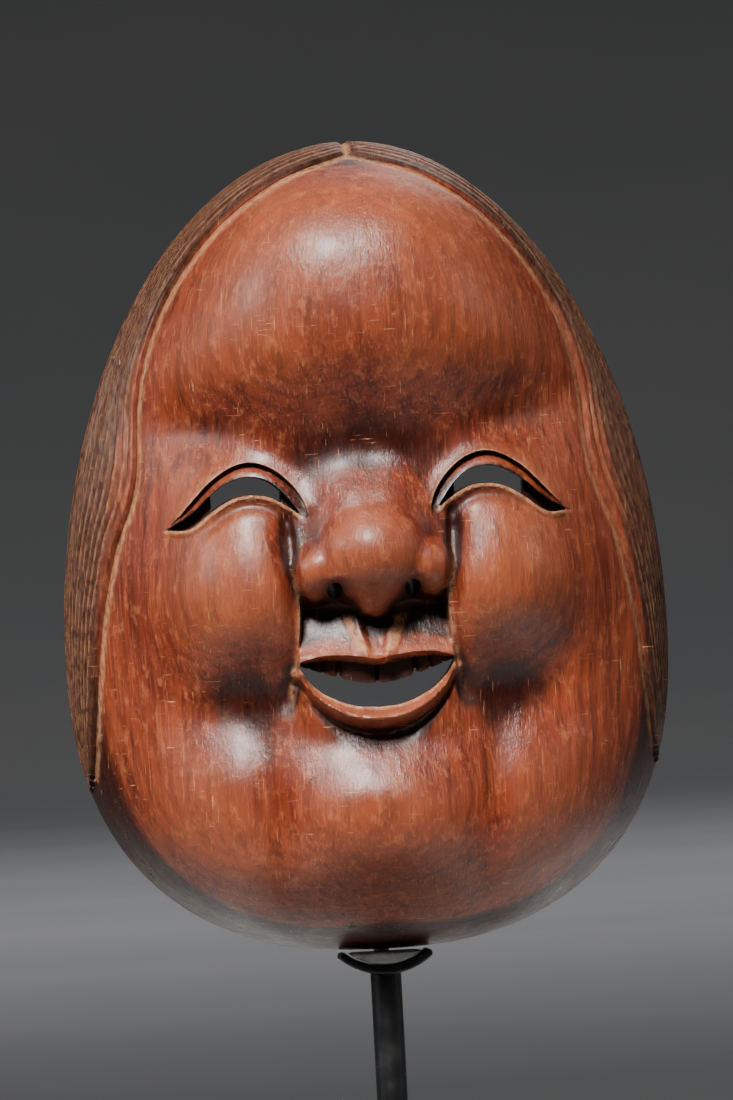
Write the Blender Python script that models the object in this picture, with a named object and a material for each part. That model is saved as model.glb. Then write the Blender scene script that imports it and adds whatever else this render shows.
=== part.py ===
"""A carved wooden mask of a smiling, plump-cheeked woman, held at the chin by a clip on a slim steel stand.

Units are metres and +Z is up. The mask's front faces -Y. The mask's own shape is written in millimetres:
x across, z up from its lowest point, and depth forward from the plane of its rim.
"""

import math

import bmesh
import bpy
import numpy as np

MM = 0.001
GAP = 0.0003

# the mask, in millimetres
MASK_HALF_WIDTH = 78.5
MASK_HEIGHT = 210.0
WIDEST_Z = 80.0
DOME_DEPTH = 53.0
WALL_AT_RIM = 8.3
HOLLOW_DEPTH = 43.0
CENTRE_Z = 92.0
HAIR_END_Z = 46.0
HAIR_RISE = 1.2
GROOVE_DEPTH = 1.3
SLIT_DEPTH = 5.0
TEETH_DEPTH = 54.4
EYE_HOLE = (22.3, 40.2)
EYE_ENDS = (17.6, 51.8)
MOUTH_HALF_WIDTH = 19.8
NOSTRIL_X, NOSTRIL_Z, NOSTRIL_R = 10.0, 93.8, 2.1
SPOKES = 64
FACE_RINGS = 17
HAIR_RINGS = 6
HOLLOW_RINGS = 9

# where the mask sits
RIM_Y = 0.036
CHIN_Z = 0.130

# the stand
BASE_SIZE = (0.120, 0.110, 0.008)
BASE_CORNER_R = 0.008
BASE_EDGE = 0.0008
FOOT_R, FOOT_T = 0.007, 0.002
FOOT_X, FOOT_Y = 0.047, 0.042
POST_R = 0.004
POST_Y = 0.026
POST_HOLE_R, POST_HOLE_L = 0.0022, 0.014
SCREW_R, SCREW_L = 0.0019, 0.017
SCREW_HEAD_R, SCREW_HEAD_H = 0.0042, 0.0025
SCREW_SOCKET_R, SCREW_SOCKET_H = 0.0013, 0.0016
CRADLE_OUTER_R, CRADLE_T = 0.0186, 0.0022
CRADLE_HALF_CHORD = 0.0118
CRADLE_FRONT, CRADLE_BACK = 0.017, 0.033
HOOK_R = 0.002
HOOK_DROP, HOOK_BACK, HOOK_TOP, HOOK_BEND = 0.0100, 0.0445, 0.0245, 0.0065
HOOK_TIP_Y, HOOK_TIP_Z = 0.0245, 0.0145
CAP_R, CAP_H = 0.0034, 0.0066


# ---------------------------------------------------------------- scene helpers


def clear_scene():
    for obj in list(bpy.data.objects):
        bpy.data.objects.remove(obj)
    for name in list(bpy.data.collections.keys()):
        bpy.data.collections.remove(bpy.data.collections[name])


def collection(name):
    made = bpy.data.collections.new(name)
    bpy.context.scene.collection.children.link(made)
    return made


def material(name, colour, roughness, metallic=0.0):
    made = bpy.data.materials.new(name)
    made.use_nodes = True
    shader = made.node_tree.nodes["Principled BSDF"]
    shader.inputs["Base Color"].default_value = (*colour, 1.0)
    shader.inputs["Roughness"].default_value = roughness
    shader.inputs["Metallic"].default_value = metallic
    return made


def add_mesh(name, points, faces, home, look=None, smooth=False):
    mesh = bpy.data.meshes.new(name)
    mesh.from_pydata([tuple(map(float, p)) for p in points], [], faces)
    mesh.validate()
    shape = bmesh.new()
    shape.from_mesh(mesh)
    bmesh.ops.recalc_face_normals(shape, faces=shape.faces)
    shape.to_mesh(mesh)
    shape.free()
    obj = bpy.data.objects.new(name, mesh)
    home.objects.link(obj)
    if look:
        mesh.materials.append(look)
    if smooth:
        mesh.shade_smooth()
    return obj


def as_cutter(obj):
    obj.hide_render = True
    obj.display_type = "WIRE"
    return obj


def cut(obj, cutter):
    modifier = obj.modifiers.new(f"cut_{cutter.name}", "BOOLEAN")
    modifier.operation = "DIFFERENCE"
    modifier.solver = "EXACT"
    modifier.object = cutter
    return modifier


def turned_solid(name, profile, home, look=None, segments=32, at=(0.0, 0.0)):
    """A closed solid of revolution about a vertical axis, from (radius, z) points that start and end on it."""
    points = [(at[0], at[1], profile[0][1])]
    ring_starts = []
    for radius, z in profile[1:-1]:
        ring_starts.append(len(points))
        for k in range(segments):
            turn = 2 * math.pi * k / segments
            points.append((at[0] + radius * math.cos(turn), at[1] + radius * math.sin(turn), z))
    points.append((at[0], at[1], profile[-1][1]))
    faces = []
    last = len(points) - 1
    for k in range(segments):
        after = (k + 1) % segments
        faces.append((0, ring_starts[0] + k, ring_starts[0] + after))
        for a, b in zip(ring_starts, ring_starts[1:]):
            faces.append((a + k, b + k, b + after, a + after))
        faces.append((last, ring_starts[-1] + after, ring_starts[-1] + k))
    obj = add_mesh(name, points, faces, home, look)
    shade_round(obj)
    return obj


def shade_round(obj):
    obj.data.set_sharp_from_angle(angle=math.radians(35))


def prism(name, outline, front, back, home):
    """A cutter: the same outline of (x, z) at two depths, which may vary from point to point."""
    count = len(outline)
    fronts = np.broadcast_to(front, (count,))
    backs = np.broadcast_to(back, (count,))
    points = [on_mask(x, z, d) for (x, z), d in zip(outline, fronts)]
    points += [on_mask(x, z, d) for (x, z), d in zip(outline, backs)]
    faces = []
    half = count // 2
    for k in range(count):
        after = (k + 1) % count
        faces.append((k, after, count + after, count + k))
    for k in range(half - 1):
        a, b = k, k + 1
        c, d = count - 2 - k, count - 1 - k
        faces.append((a, b, c, d) if b != c else (a, b, d))
        faces.append((count + a, count + d, count + c, count + b) if b != c else (count + a, count + d, count + b))
    return as_cutter(add_mesh(name, points, faces, home))


# ---------------------------------------------------------------- the carved form


def spline(points):
    """A smooth curve through hand-chosen points, as a function of the first coordinate."""
    table = np.array(points, float)
    xs, ys = table[:, 0], table[:, 1]
    slopes = np.gradient(ys, xs)

    def at(value):
        value = np.clip(np.asarray(value, float), xs[0], xs[-1])
        i = np.clip(np.searchsorted(xs, value) - 1, 0, len(xs) - 2)
        step = xs[i + 1] - xs[i]
        t = (value - xs[i]) / step
        near = (2 * t**3 - 3 * t**2 + 1) * ys[i] + (t**3 - 2 * t**2 + t) * step * slopes[i]
        far = (3 * t**2 - 2 * t**3) * ys[i + 1] + (t**3 - t**2) * step * slopes[i + 1]
        return near + far

    return at


SLIT_TOP = spline(
    [(17.6, 113.8), (19.8, 117.2), (24, 121.9), (30.3, 124.2), (36, 122.9), (41, 119.4), (45, 115.7), (51.8, 111.7)]
)
SLIT_LOW = spline(
    [(17.6, 113.4), (21, 116), (24.5, 118.1), (30.3, 119.3), (35.5, 118.2), (39.5, 115.9), (46.2, 111.3), (51.8, 111.4)]
)
LIP_EDGE = spline([(0, 75.6), (4, 76.5), (9, 77.1), (15, 77.0), (20, 75.6)])
LIP_LOW = spline([(0, 63.4), (6, 64.0), (11, 65.8), (15.5, 68.6), (18.5, 71.8), (19.8, 74.0)])
TOOTH_LINE = spline([(0, 69.6), (4, 69.9), (9.3, 71.2), (14, 72.8), (18, 74.4), (19.8, 75.2)])
MOUTH_SIDE = spline([(60, 22.6), (71, 20.8), (82, 19.2), (89, 18.6), (101, 20.0), (113, 20.6)])
NOSE_LIFT = spline([(84, 12), (96, 15), (104, 16), (112, 15), (118, 12), (125, 7.4), (134, 3), (143, 0.6), (150, 0)])
NOSE_WIDTH = spline([(84, 15), (106, 15.5), (116, 14.5), (126, 14.5), (136, 18), (150, 24)])
HAIRLINE = spline(
    [(30, 73.5), (48, 72.3), (64, 71.6), (78, 70.2), (91, 68.4), (101, 66.2), (109, 64.0), (117, 60.8), (125, 58.6),
     (134, 57.8), (144, 57.2), (158, 54), (172, 47.6), (182, 40.5), (190, 32.8), (196, 24.8), (202, 13.2), (206, 0)]
)


def smoothstep(low, high, value):
    t = np.clip((value - low) / (high - low), 0, 1)
    return t * t * (3 - 2 * t)


def soft_max(a, b, blend):
    return np.maximum(a, b) + np.maximum(blend - np.abs(a - b), 0) ** 2 / (4 * blend)


def turned(u, z, centre_u, centre_z, degrees):
    c, s = math.cos(math.radians(degrees)), math.sin(math.radians(degrees))
    du, dz = u - centre_u, z - centre_z
    return du * c + dz * s, dz * c - du * s


def swelling(u, z, centre_u, centre_z, size_u, size_z, degrees=0.0, power=1.0):
    a, b = turned(u, z, centre_u, centre_z, degrees)
    return np.exp(-(((a / size_u) ** 2 + (b / size_z) ** 2) ** power))


def ball(u, z, centre_u, centre_z, base, radius_u, radius_z, depth, degrees=0.0):
    a, b = turned(u, z, centre_u, centre_z, degrees)
    d = np.sqrt((a / radius_u) ** 2 + (b / radius_z) ** 2)
    top = np.sqrt(np.clip(1 - d**2, 0, 1))
    return base + depth * np.where(d < 0.97, top, 0.2431 - (d - 0.97) * 3.99)


def half_width(z):
    up = np.clip((z - WIDEST_Z) / (MASK_HEIGHT - WIDEST_Z), 0, 1)
    down = np.clip((WIDEST_Z - z) / WIDEST_Z, 0, 1)
    return MASK_HALF_WIDTH * np.where(z > WIDEST_Z, np.sqrt(1 - up**2), (1 - down**2.4) ** (1 / 2.4))


def dome(x, z):
    across = np.clip(np.abs(x) / np.maximum(half_width(z), 1e-3), 0, 1)
    up = np.clip((z - 80) / 130, 0, 1)
    down = np.clip((80 - z) / 80, 0, 1)
    middle = np.sqrt(1 - np.where(z > 80, up**8.0, down**5.0))
    return DOME_DEPTH * middle * (1 - across**2.6) ** 0.66


def broad_form(x, z):
    """The big rounded forms of the face."""
    u = np.abs(x)
    plain = dome(x, z)
    from_top = np.where(z > 170, (np.abs(z - 170) / 41) ** 4, (np.abs(z - 170) / 32) ** 2.8)
    depth = plain + 20.5 * np.exp(-from_top - (u / 50) ** 2.6)  # forehead
    depth = depth - 3.0 * swelling(u, z, 0, 130, 20, 9)  # root of the nose
    depth = depth - 2.5 * swelling(u, z, 42, 139, 17, 8.0, 4)  # under the brow
    depth = depth + 5.0 * swelling(u, z, 32, 120, 20, 13.5, -8, 1.2)  # eye
    depth = depth + 14.0 * swelling(u, z, 35, 95, 19.5, 19.5, -14, 1.25)  # cheek
    depth = depth - 5.2 * swelling(u, z, 34, 67, 15, 13, -16)  # below the cheek
    depth = depth + 4.5 * swelling(u, z, 43, 34, 22, 23, 20, 1.1)  # jowl
    depth = depth - 2.4 * swelling(u, z, 27.5, 38, 5.5, 20, -8)  # between chin and jowl
    depth = depth + 9.0 * swelling(u, z, 0, 34, 21, 17, power=1.3)  # chin
    depth = depth - 1.2 * swelling(u, z, 0, 56, 18, 5)  # over the chin
    depth = depth + 6.5 * swelling(u, z, 0, 76, 23, 17, power=1.4)  # round the mouth
    edge = smoothstep(0.90, 1.0, u / np.maximum(half_width(z), 1e-3))
    return depth + (plain - depth) * edge


def nose(u, z, under):
    """The nose over whatever lies under it: a bridge, a round tip, a low middle and two wings."""
    bridge = under + NOSE_LIFT(z) * np.exp(-((u / NOSE_WIDTH(z)) ** 2.6)) * smoothstep(89, 98, z)
    bulb = ball(u, z, 0, 103.5, 51, 15.5, 14.8, 23)
    tail = ball(u, z, 0, 95.8, 52, 7.0, 10.2, 14)
    wing = ball(u, z, 14.0, 99.6, 47, 8.2, 10.2, 19.5, 14)
    balls = soft_max(soft_max(bulb, tail, 4), wing, 2.2)
    return soft_max(bridge, balls, np.interp(z, [88, 100], [1.0, 4.0]))


def lips(u, z, depth):
    reach = np.clip((90.5 - z) / 13.5, 0, 1)
    plate = 54.5 + 6.0 * reach**1.7 - 0.0065 * u**2
    upper = smoothstep(MOUTH_SIDE(z) + 0.6, MOUTH_SIDE(z) - 0.6, u) * smoothstep(70, 73, z) * smoothstep(94, 90, z)
    depth = depth * (1 - upper) + plate * upper
    below = (LIP_LOW(np.minimum(u, MOUTH_HALF_WIDTH)) - z) / 3.4
    lower = 57.2 + 2.8 * np.exp(-(((below - 0.72) / 0.5) ** 2)) - 0.011 * u**2
    share = smoothstep(-1.6, -0.4, below) * smoothstep(2.6, 1.05, below) * smoothstep(24, 20, u)
    share = share * (1 - upper)
    return depth * (1 - share) + lower * share


def front_depth(x, z):
    u = np.abs(x)
    return nose(u, z, lips(u, z, broad_form(x, z)))


def on_mask(x, z, depth):
    """A point of the mask, from millimetres on the mask to metres in the scene."""
    return (x * MM, RIM_Y - depth * MM, CHIN_Z + z * MM)


# ---------------------------------------------------------------- the mask


def spoke_lengths(turns):
    """How far each spoke runs from the centre to the outline."""
    low, high = np.zeros(len(turns)), np.full(len(turns), 140.0)
    for _ in range(50):
        reach = (low + high) / 2
        x, z = reach * np.sin(turns), CENTRE_Z + reach * np.cos(turns)
        inside = (z > 0) & (z < MASK_HEIGHT) & (np.abs(x) < half_width(np.clip(z, 0, MASK_HEIGHT)))
        low, high = np.where(inside, reach, low), np.where(inside, high, reach)
    return low


def hairline_share(turns, lengths):
    """The hairline's place on each spoke, as a share of its length; under the jaw a plain ring near the edge."""
    low, high = np.zeros(len(turns)), lengths.copy()
    for _ in range(50):
        reach = (low + high) / 2
        x, z = np.abs(reach * np.sin(turns)), CENTRE_Z + reach * np.cos(turns)
        inside = (z < 206) & (x < HAIRLINE(np.clip(z, 30, 206)))
        low, high = np.where(inside, reach, low), np.where(inside, high, reach)
    return np.minimum(low / lengths, 0.93)


def mask_rings():
    """The mask's points as rings from the middle of the face, over the rim, to the middle of the hollow."""
    turns = 2 * np.pi * np.arange(SPOKES) / SPOKES
    sines, cosines = np.sin(turns), np.cos(turns)
    lengths = spoke_lengths(turns)
    hairline = hairline_share(turns, lengths)
    line_z = CENTRE_Z + hairline * lengths * cosines
    hair = smoothstep(HAIR_END_Z - 3, HAIR_END_Z + 3, line_z)
    rings = []

    def front_ring(share, lift):
        x, z = share * lengths * sines, CENTRE_Z + share * lengths * cosines
        rings.append((x, z, np.maximum(front_depth(x, z) + lift, 0.0)))

    for k in range(1, FACE_RINGS + 1):
        share = (k / FACE_RINGS) ** 1.12
        front_ring(share * (hairline - 0.018), 0.0)
    front_ring(hairline, -GROOVE_DEPTH * hair)
    for k in range(1, HAIR_RINGS):
        t = math.sin(0.5 * math.pi * (k / HAIR_RINGS) ** 0.9)
        front_ring(hairline + (1 - hairline) * t, HAIR_RISE * hair * (1 - t**4))
    rings.append((lengths * sines, CENTRE_Z + lengths * cosines, np.zeros(SPOKES)))
    inner = 1 - WALL_AT_RIM / lengths
    for k in range(HOLLOW_RINGS):
        t = math.cos(0.5 * math.pi * k / HOLLOW_RINGS)
        reach = inner * lengths * t
        x, z = reach * sines, CENTRE_Z + reach * cosines
        rings.append((x, z, hollow_depth(x, z, t)))
    return rings


def hollow_depth(x, z, share):
    """The carved-out back, deepest in the middle, with room behind the forehead, nose and chin."""
    u = np.abs(x)
    forehead_room = 15.0 * swelling(u, z, 0, 170, 42, 30, power=1.4)
    nose_room = 8.0 * swelling(u, z, 0, 104, 15, 15)
    cheek_room = 6.0 * swelling(u, z, 36, 94, 18, 18, power=1.2)
    chin_room = 5.0 * swelling(u, z, 0, 38, 42, 20, power=1.3)
    steepness = 3.6 + 3.0 * smoothstep(110, 190, z)
    fall = np.sqrt(np.maximum(1 - share**steepness, 0.0))
    return (HOLLOW_DEPTH + forehead_room + nose_room + cheek_room + chin_room) * fall


def build_mask(home, cutters, look):
    rings = mask_rings()
    points = [on_mask(0, CENTRE_Z, front_depth(np.array([0.0]), np.array([CENTRE_Z]))[0])]
    for x, z, depth in rings:
        points += [on_mask(*values) for values in zip(x, z, depth)]
    middle = hollow_depth(np.array([0.0]), np.array([CENTRE_Z]), 0.0)[0]
    points.append(on_mask(0, CENTRE_Z, middle))
    faces = []
    last = len(points) - 1
    for k in range(SPOKES):
        after = (k + 1) % SPOKES
        faces.append((0, 1 + after, 1 + k))
        for ring in range(len(rings) - 1):
            a, b = 1 + ring * SPOKES, 1 + (ring + 1) * SPOKES
            faces.append((a + k, a + after, b + after, b + k))
        end = 1 + (len(rings) - 1) * SPOKES
        faces.append((last, end + k, end + after))
    mask = add_mesh("mask", points, faces, home, look, smooth=True)
    for side in (-1, 1):
        cut(mask, eye_hole_cutter(side, cutters))
        cut(mask, eye_slit_cutter(side, cutters))
        cut(mask, nostril_cutter(side, cutters))
    cut(mask, mouth_cutter(cutters))
    cut(mask, teeth_cutter(cutters))
    mask.data.set_sharp_from_angle(angle=math.radians(50))
    return mask


def loop_between(xs, low, high, side=1):
    """An outline from a lower and an upper curve, as (x, z) points, in pairs that face each other."""
    return [(side * x, float(low(x))) for x in xs] + [(side * x, float(high(x))) for x in xs[::-1]]


def eye_hole_cutter(side, home):
    xs = np.linspace(EYE_HOLE[0], EYE_HOLE[1], 8)
    outline = loop_between(xs, lambda x: SLIT_LOW(x) + 0.05, lambda x: SLIT_TOP(x) - 0.05, side)
    return prism(f"eye_hole_cutter_{'r' if side > 0 else 'l'}", outline, 90.0, -10.0, home)


def eye_slit_cutter(side, home):
    xs = np.linspace(EYE_ENDS[0], EYE_ENDS[1], 14)
    outline = loop_between(xs, SLIT_LOW, SLIT_TOP, side)
    xz = np.array(outline)
    floor = front_depth(xz[:, 0], 0.5 * (SLIT_LOW(np.abs(xz[:, 0])) + SLIT_TOP(np.abs(xz[:, 0])))) - SLIT_DEPTH
    return prism(f"eye_slit_cutter_{'r' if side > 0 else 'l'}", outline, 90.0, floor, home)


def nostril_cutter(side, home):
    turns = np.linspace(0, 2 * np.pi, 17)[:-1]
    outline = [(side * NOSTRIL_X + NOSTRIL_R * math.sin(t), NOSTRIL_Z + NOSTRIL_R * math.cos(t)) for t in turns]
    return prism(f"nostril_cutter_{'r' if side > 0 else 'l'}", outline, 90.0, -10.0, home)


def mouth_cutter(home):
    xs = np.linspace(-MOUTH_HALF_WIDTH, MOUTH_HALF_WIDTH, 21)
    outline = loop_between(xs, lambda x: LIP_LOW(abs(x)), lambda x: TOOTH_LINE(abs(x)))
    return prism("mouth_cutter", outline, 90.0, -10.0, home)


def teeth_cutter(home):
    xs = np.linspace(-MOUTH_HALF_WIDTH, MOUTH_HALF_WIDTH, 21)
    outline = loop_between(xs, lambda x: TOOTH_LINE(abs(x)) - 0.4, lambda x: LIP_EDGE(abs(x)))
    floor = TEETH_DEPTH - 0.008 * np.array([x for x, _ in outline]) ** 2
    return prism("teeth_cutter", outline, 90.0, floor, home)


# ---------------------------------------------------------------- the stand


def build_cradle(home, look):
    """A strip of an arc, open upwards, that carries the chin's edge."""
    inner_r = CRADLE_OUTER_R - CRADLE_T
    reach = math.asin(CRADLE_HALF_CHORD / CRADLE_OUTER_R)
    centre_z = CHIN_Z - GAP + inner_r * math.cos(reach)
    steps = 20
    points = []
    for y in (CRADLE_FRONT, CRADLE_BACK):
        for radius in (CRADLE_OUTER_R, inner_r):
            for k in range(steps + 1):
                turn = -reach + 2 * reach * k / steps
                points.append((radius * math.sin(turn), y, centre_z - radius * math.cos(turn)))
    row = steps + 1
    faces = []
    for k in range(steps):
        faces.append((k, k + 1, row + k + 1, row + k))
        faces.append((2 * row + k, 3 * row + k, 3 * row + k + 1, 2 * row + k + 1))
        faces.append((k, 2 * row + k, 2 * row + k + 1, k + 1))
        faces.append((row + k, row + k + 1, 3 * row + k + 1, 3 * row + k))
    faces.append((0, row, 3 * row, 2 * row))
    faces.append((steps, 2 * row + steps, 3 * row + steps, row + steps))
    cradle = add_mesh("cradle", points, faces, home, look)
    shade_round(cradle)
    return cradle, centre_z


def build_cradle_pad(home, look, centre_z):
    """A soft insert with a flat top, lying in the cradle."""
    radius = CRADLE_OUTER_R - CRADLE_T - GAP
    top = CHIN_Z - GAP
    reach = math.acos((centre_z - top + 0.0005) / radius)
    steps = 16
    points = []
    for y in (CRADLE_FRONT + 0.0004, CRADLE_BACK - 0.0004):
        for k in range(steps + 1):
            turn = -reach + 2 * reach * k / steps
            points.append((radius * math.sin(turn), y, centre_z - radius * math.cos(turn)))
        for k in range(steps + 1):
            turn = -reach + 2 * reach * k / steps
            points.append((radius * math.sin(turn), y, top))
    row = steps + 1
    faces = []
    for k in range(steps):
        faces.append((k, k + 1, row + k + 1, row + k))
        faces.append((2 * row + k, 3 * row + k, 3 * row + k + 1, 2 * row + k + 1))
        faces.append((k, 2 * row + k, 2 * row + k + 1, k + 1))
        faces.append((row + k, row + k + 1, 3 * row + k + 1, 3 * row + k))
    faces.append((0, row, 3 * row, 2 * row))
    faces.append((steps, 2 * row + steps, 3 * row + steps, row + steps))
    return add_mesh("cradle_pad", points, faces, home, look)


def build_post(home, look, top):
    bottom = FOOT_T + GAP + BASE_SIZE[2] + GAP
    edge = 0.0004
    profile = [
        (0, top),
        (POST_R - edge, top),
        (POST_R, top - edge),
        (POST_R, bottom + edge),
        (POST_R - edge, bottom),
        (POST_HOLE_R, bottom),
        (POST_HOLE_R, bottom + POST_HOLE_L),
        (0, bottom + POST_HOLE_L + 0.0012),
    ]
    return turned_solid("post", profile, home, look, at=(0, POST_Y))


def bent_path(corners, bend, steps=6):
    """A polyline with each inner corner rounded by an arc."""
    path = [np.array(corners[0])]
    for before, corner, after in zip(corners, corners[1:], corners[2:]):
        before, corner, after = map(np.array, (before, corner, after))
        a = (before - corner) / np.linalg.norm(before - corner)
        b = (after - corner) / np.linalg.norm(after - corner)
        centre = corner + (a + b) * bend
        for k in range(steps + 1):
            turn = 0.5 * math.pi * k / steps
            path.append(centre - b * bend * math.cos(turn) - a * bend * math.sin(turn))
    path.append(np.array(corners[-1]))
    return path


def rod_along(name, path, radius, home, look, segments=16):
    """A round rod along a path in the Y-Z plane at x = 0."""
    points, faces = [], []
    for i, centre in enumerate(path):
        ahead = path[min(i + 1, len(path) - 1)] - path[max(i - 1, 0)]
        ahead = ahead / np.linalg.norm(ahead)
        side = np.array([-ahead[1], ahead[0]])
        for k in range(segments):
            turn = 2 * math.pi * k / segments
            offset = centre + side * radius * math.sin(turn)
            points.append((radius * math.cos(turn), offset[0], offset[1]))
    for i in range(len(path) - 1):
        for k in range(segments):
            after = (k + 1) % segments
            a, b = i * segments, (i + 1) * segments
            faces.append((a + k, a + after, b + after, b + k))
    faces.append(tuple(range(segments)))
    faces.append(tuple((len(path) - 1) * segments + k for k in range(segments)))
    rod = add_mesh(name, points, faces, home, look)
    shade_round(rod)
    return rod


def build_hook(home, look):
    """The sprung rod that runs back from the post, up behind the rim and down on to the chin's inner floor."""
    corners = [
        (POST_Y + POST_R + GAP, CHIN_Z - HOOK_DROP),
        (HOOK_BACK, CHIN_Z - HOOK_DROP),
        (HOOK_BACK, CHIN_Z + HOOK_TOP),
        (HOOK_TIP_Y, CHIN_Z + HOOK_TOP),
        (HOOK_TIP_Y, CHIN_Z + HOOK_TIP_Z),
    ]
    return rod_along("hook", bent_path(corners, HOOK_BEND), HOOK_R, home, look)


def build_hook_cap(home, look):
    """A rubber cap over the hook's end."""
    tip = CHIN_Z + HOOK_TIP_Z
    bottom = tip - 0.0022
    top = bottom + CAP_H
    inner = HOOK_R + 0.0002
    profile = [
        (0, tip - GAP),
        (inner, tip - GAP),
        (inner, top),
        (CAP_R - 0.0005, top),
        (CAP_R, top - 0.0005),
        (CAP_R, bottom + 0.0014),
        (CAP_R - 0.0006, bottom + 0.0005),
        (CAP_R - 0.0016, bottom),
        (0, bottom),
    ]
    return turned_solid("hook_cap", profile, home, look, segments=24, at=(0, HOOK_TIP_Y))


def build_base(home, cutters, look):
    """A flat plate with rounded corners, and a countersunk hole under the post."""
    low = FOOT_T + GAP
    high = low + BASE_SIZE[2]
    half_x, half_y = BASE_SIZE[0] / 2, BASE_SIZE[1] / 2
    outline = []
    for corner in range(4):
        cx = (half_x - BASE_CORNER_R) * (1 if corner in (0, 3) else -1)
        cy = (half_y - BASE_CORNER_R) * (1 if corner in (0, 1) else -1)
        for k in range(7):
            turn = math.pi / 2 * (corner + k / 6)
            outline.append((cx, cy, math.cos(turn), math.sin(turn)))
    levels = [(low, BASE_EDGE), (low + BASE_EDGE, 0), (high - BASE_EDGE, 0), (high, BASE_EDGE)]
    points = []
    for z, inset in levels:
        reach = BASE_CORNER_R - inset
        points += [(cx + reach * c, cy + reach * s, z) for cx, cy, c, s in outline]
    count = len(outline)
    faces = [tuple(range(count)), tuple(3 * count + k for k in range(count))]
    for level in range(3):
        for k in range(count):
            after = (k + 1) % count
            a, b = level * count, (level + 1) * count
            faces.append((a + k, a + after, b + after, b + k))
    base = add_mesh("base_plate", points, faces, home, look)
    clear = SCREW_R + 0.0003
    head = SCREW_HEAD_R + 0.0003
    profile = [
        (0, high + 0.002),
        (clear, high + 0.002),
        (clear, low + SCREW_HEAD_H + 0.0004),
        (head, low + 0.0006),
        (head, low - 0.002),
        (0, low - 0.002),
    ]
    cut(base, as_cutter(turned_solid("screw_hole_cutter", profile, cutters, at=(0, POST_Y))))
    return base


def build_screw(home, look):
    """The countersunk screw, from under the plate into the post."""
    low = FOOT_T + GAP
    profile = [
        (0, low + SCREW_L),
        (SCREW_R - 0.0004, low + SCREW_L),
        (SCREW_R, low + SCREW_L - 0.0004),
        (SCREW_R, low + SCREW_HEAD_H),
        (SCREW_HEAD_R, low + 0.0003),
        (SCREW_HEAD_R, low),
        (SCREW_SOCKET_R, low),
        (SCREW_SOCKET_R, low + SCREW_SOCKET_H),
        (0, low + SCREW_SOCKET_H + 0.0004),
    ]
    return turned_solid("base_screw", profile, home, look, segments=24, at=(0, POST_Y))


def build_feet(home, look):
    for name, x, y in (
        ("foot_front_left", -FOOT_X, -FOOT_Y),
        ("foot_front_right", FOOT_X, -FOOT_Y),
        ("foot_back_left", -FOOT_X, FOOT_Y),
        ("foot_back_right", FOOT_X, FOOT_Y),
    ):
        profile = [(0, FOOT_T), (FOOT_R - 0.0003, FOOT_T), (FOOT_R, FOOT_T - 0.0003)]
        profile += [(FOOT_R, 0.0003), (FOOT_R - 0.0003, 0), (0, 0)]
        turned_solid(name, profile, home, look, segments=24, at=(x, y))


def main():
    clear_scene()
    home = collection("smiling_wooden_mask_on_stand")
    cutters = collection("cutters")
    wood = material("waxed_wood", (0.33, 0.10, 0.045), 0.42)
    cradle_steel = material("cradle_steel", (0.012, 0.012, 0.013), 0.42, 0.4)
    post_steel = material("post_steel", (0.012, 0.012, 0.013), 0.4, 0.4)
    hook_steel = material("hook_steel", (0.014, 0.014, 0.015), 0.38, 0.4)
    base_steel = material("base_steel", (0.013, 0.013, 0.014), 0.5, 0.3)
    felt = material("grey_felt", (0.55, 0.55, 0.53), 0.95)
    rubber = material("black_rubber", (0.02, 0.02, 0.02), 0.8)
    foot_felt = material("foot_felt", (0.03, 0.03, 0.032), 0.95)
    zinc = material("screw_steel", (0.45, 0.45, 0.46), 0.35, 1.0)

    build_mask(home, cutters, wood)
    _, centre_z = build_cradle(home, cradle_steel)
    build_cradle_pad(home, felt, centre_z)
    build_post(home, post_steel, centre_z - CRADLE_OUTER_R - GAP)
    build_hook(home, hook_steel)
    build_hook_cap(home, rubber)
    build_base(home, cutters, base_steel)
    build_screw(home, zinc)
    build_feet(home, foot_felt)


main()
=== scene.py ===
"""The look of a carved wooden mask on its stand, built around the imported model."""

import math

import bmesh
import bpy
import numpy as np
from mathutils import Matrix, Vector, noise
from mathutils.geometry import delaunay_2d_cdt
from mathutils.kdtree import KDTree


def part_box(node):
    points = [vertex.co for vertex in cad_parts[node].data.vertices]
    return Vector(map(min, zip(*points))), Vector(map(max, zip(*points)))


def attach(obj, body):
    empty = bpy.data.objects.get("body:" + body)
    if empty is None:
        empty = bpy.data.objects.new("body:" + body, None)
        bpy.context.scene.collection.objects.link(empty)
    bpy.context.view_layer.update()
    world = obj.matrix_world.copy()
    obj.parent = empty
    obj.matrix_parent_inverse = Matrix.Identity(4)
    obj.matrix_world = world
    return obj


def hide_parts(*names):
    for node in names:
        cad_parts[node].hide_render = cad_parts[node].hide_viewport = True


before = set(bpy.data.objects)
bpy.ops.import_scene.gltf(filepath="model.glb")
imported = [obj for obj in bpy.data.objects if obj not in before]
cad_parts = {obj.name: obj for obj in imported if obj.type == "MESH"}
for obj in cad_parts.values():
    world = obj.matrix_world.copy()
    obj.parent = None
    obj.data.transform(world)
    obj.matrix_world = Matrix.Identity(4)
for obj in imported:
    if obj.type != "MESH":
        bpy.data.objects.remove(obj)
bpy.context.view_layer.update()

MM = 0.001

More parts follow.
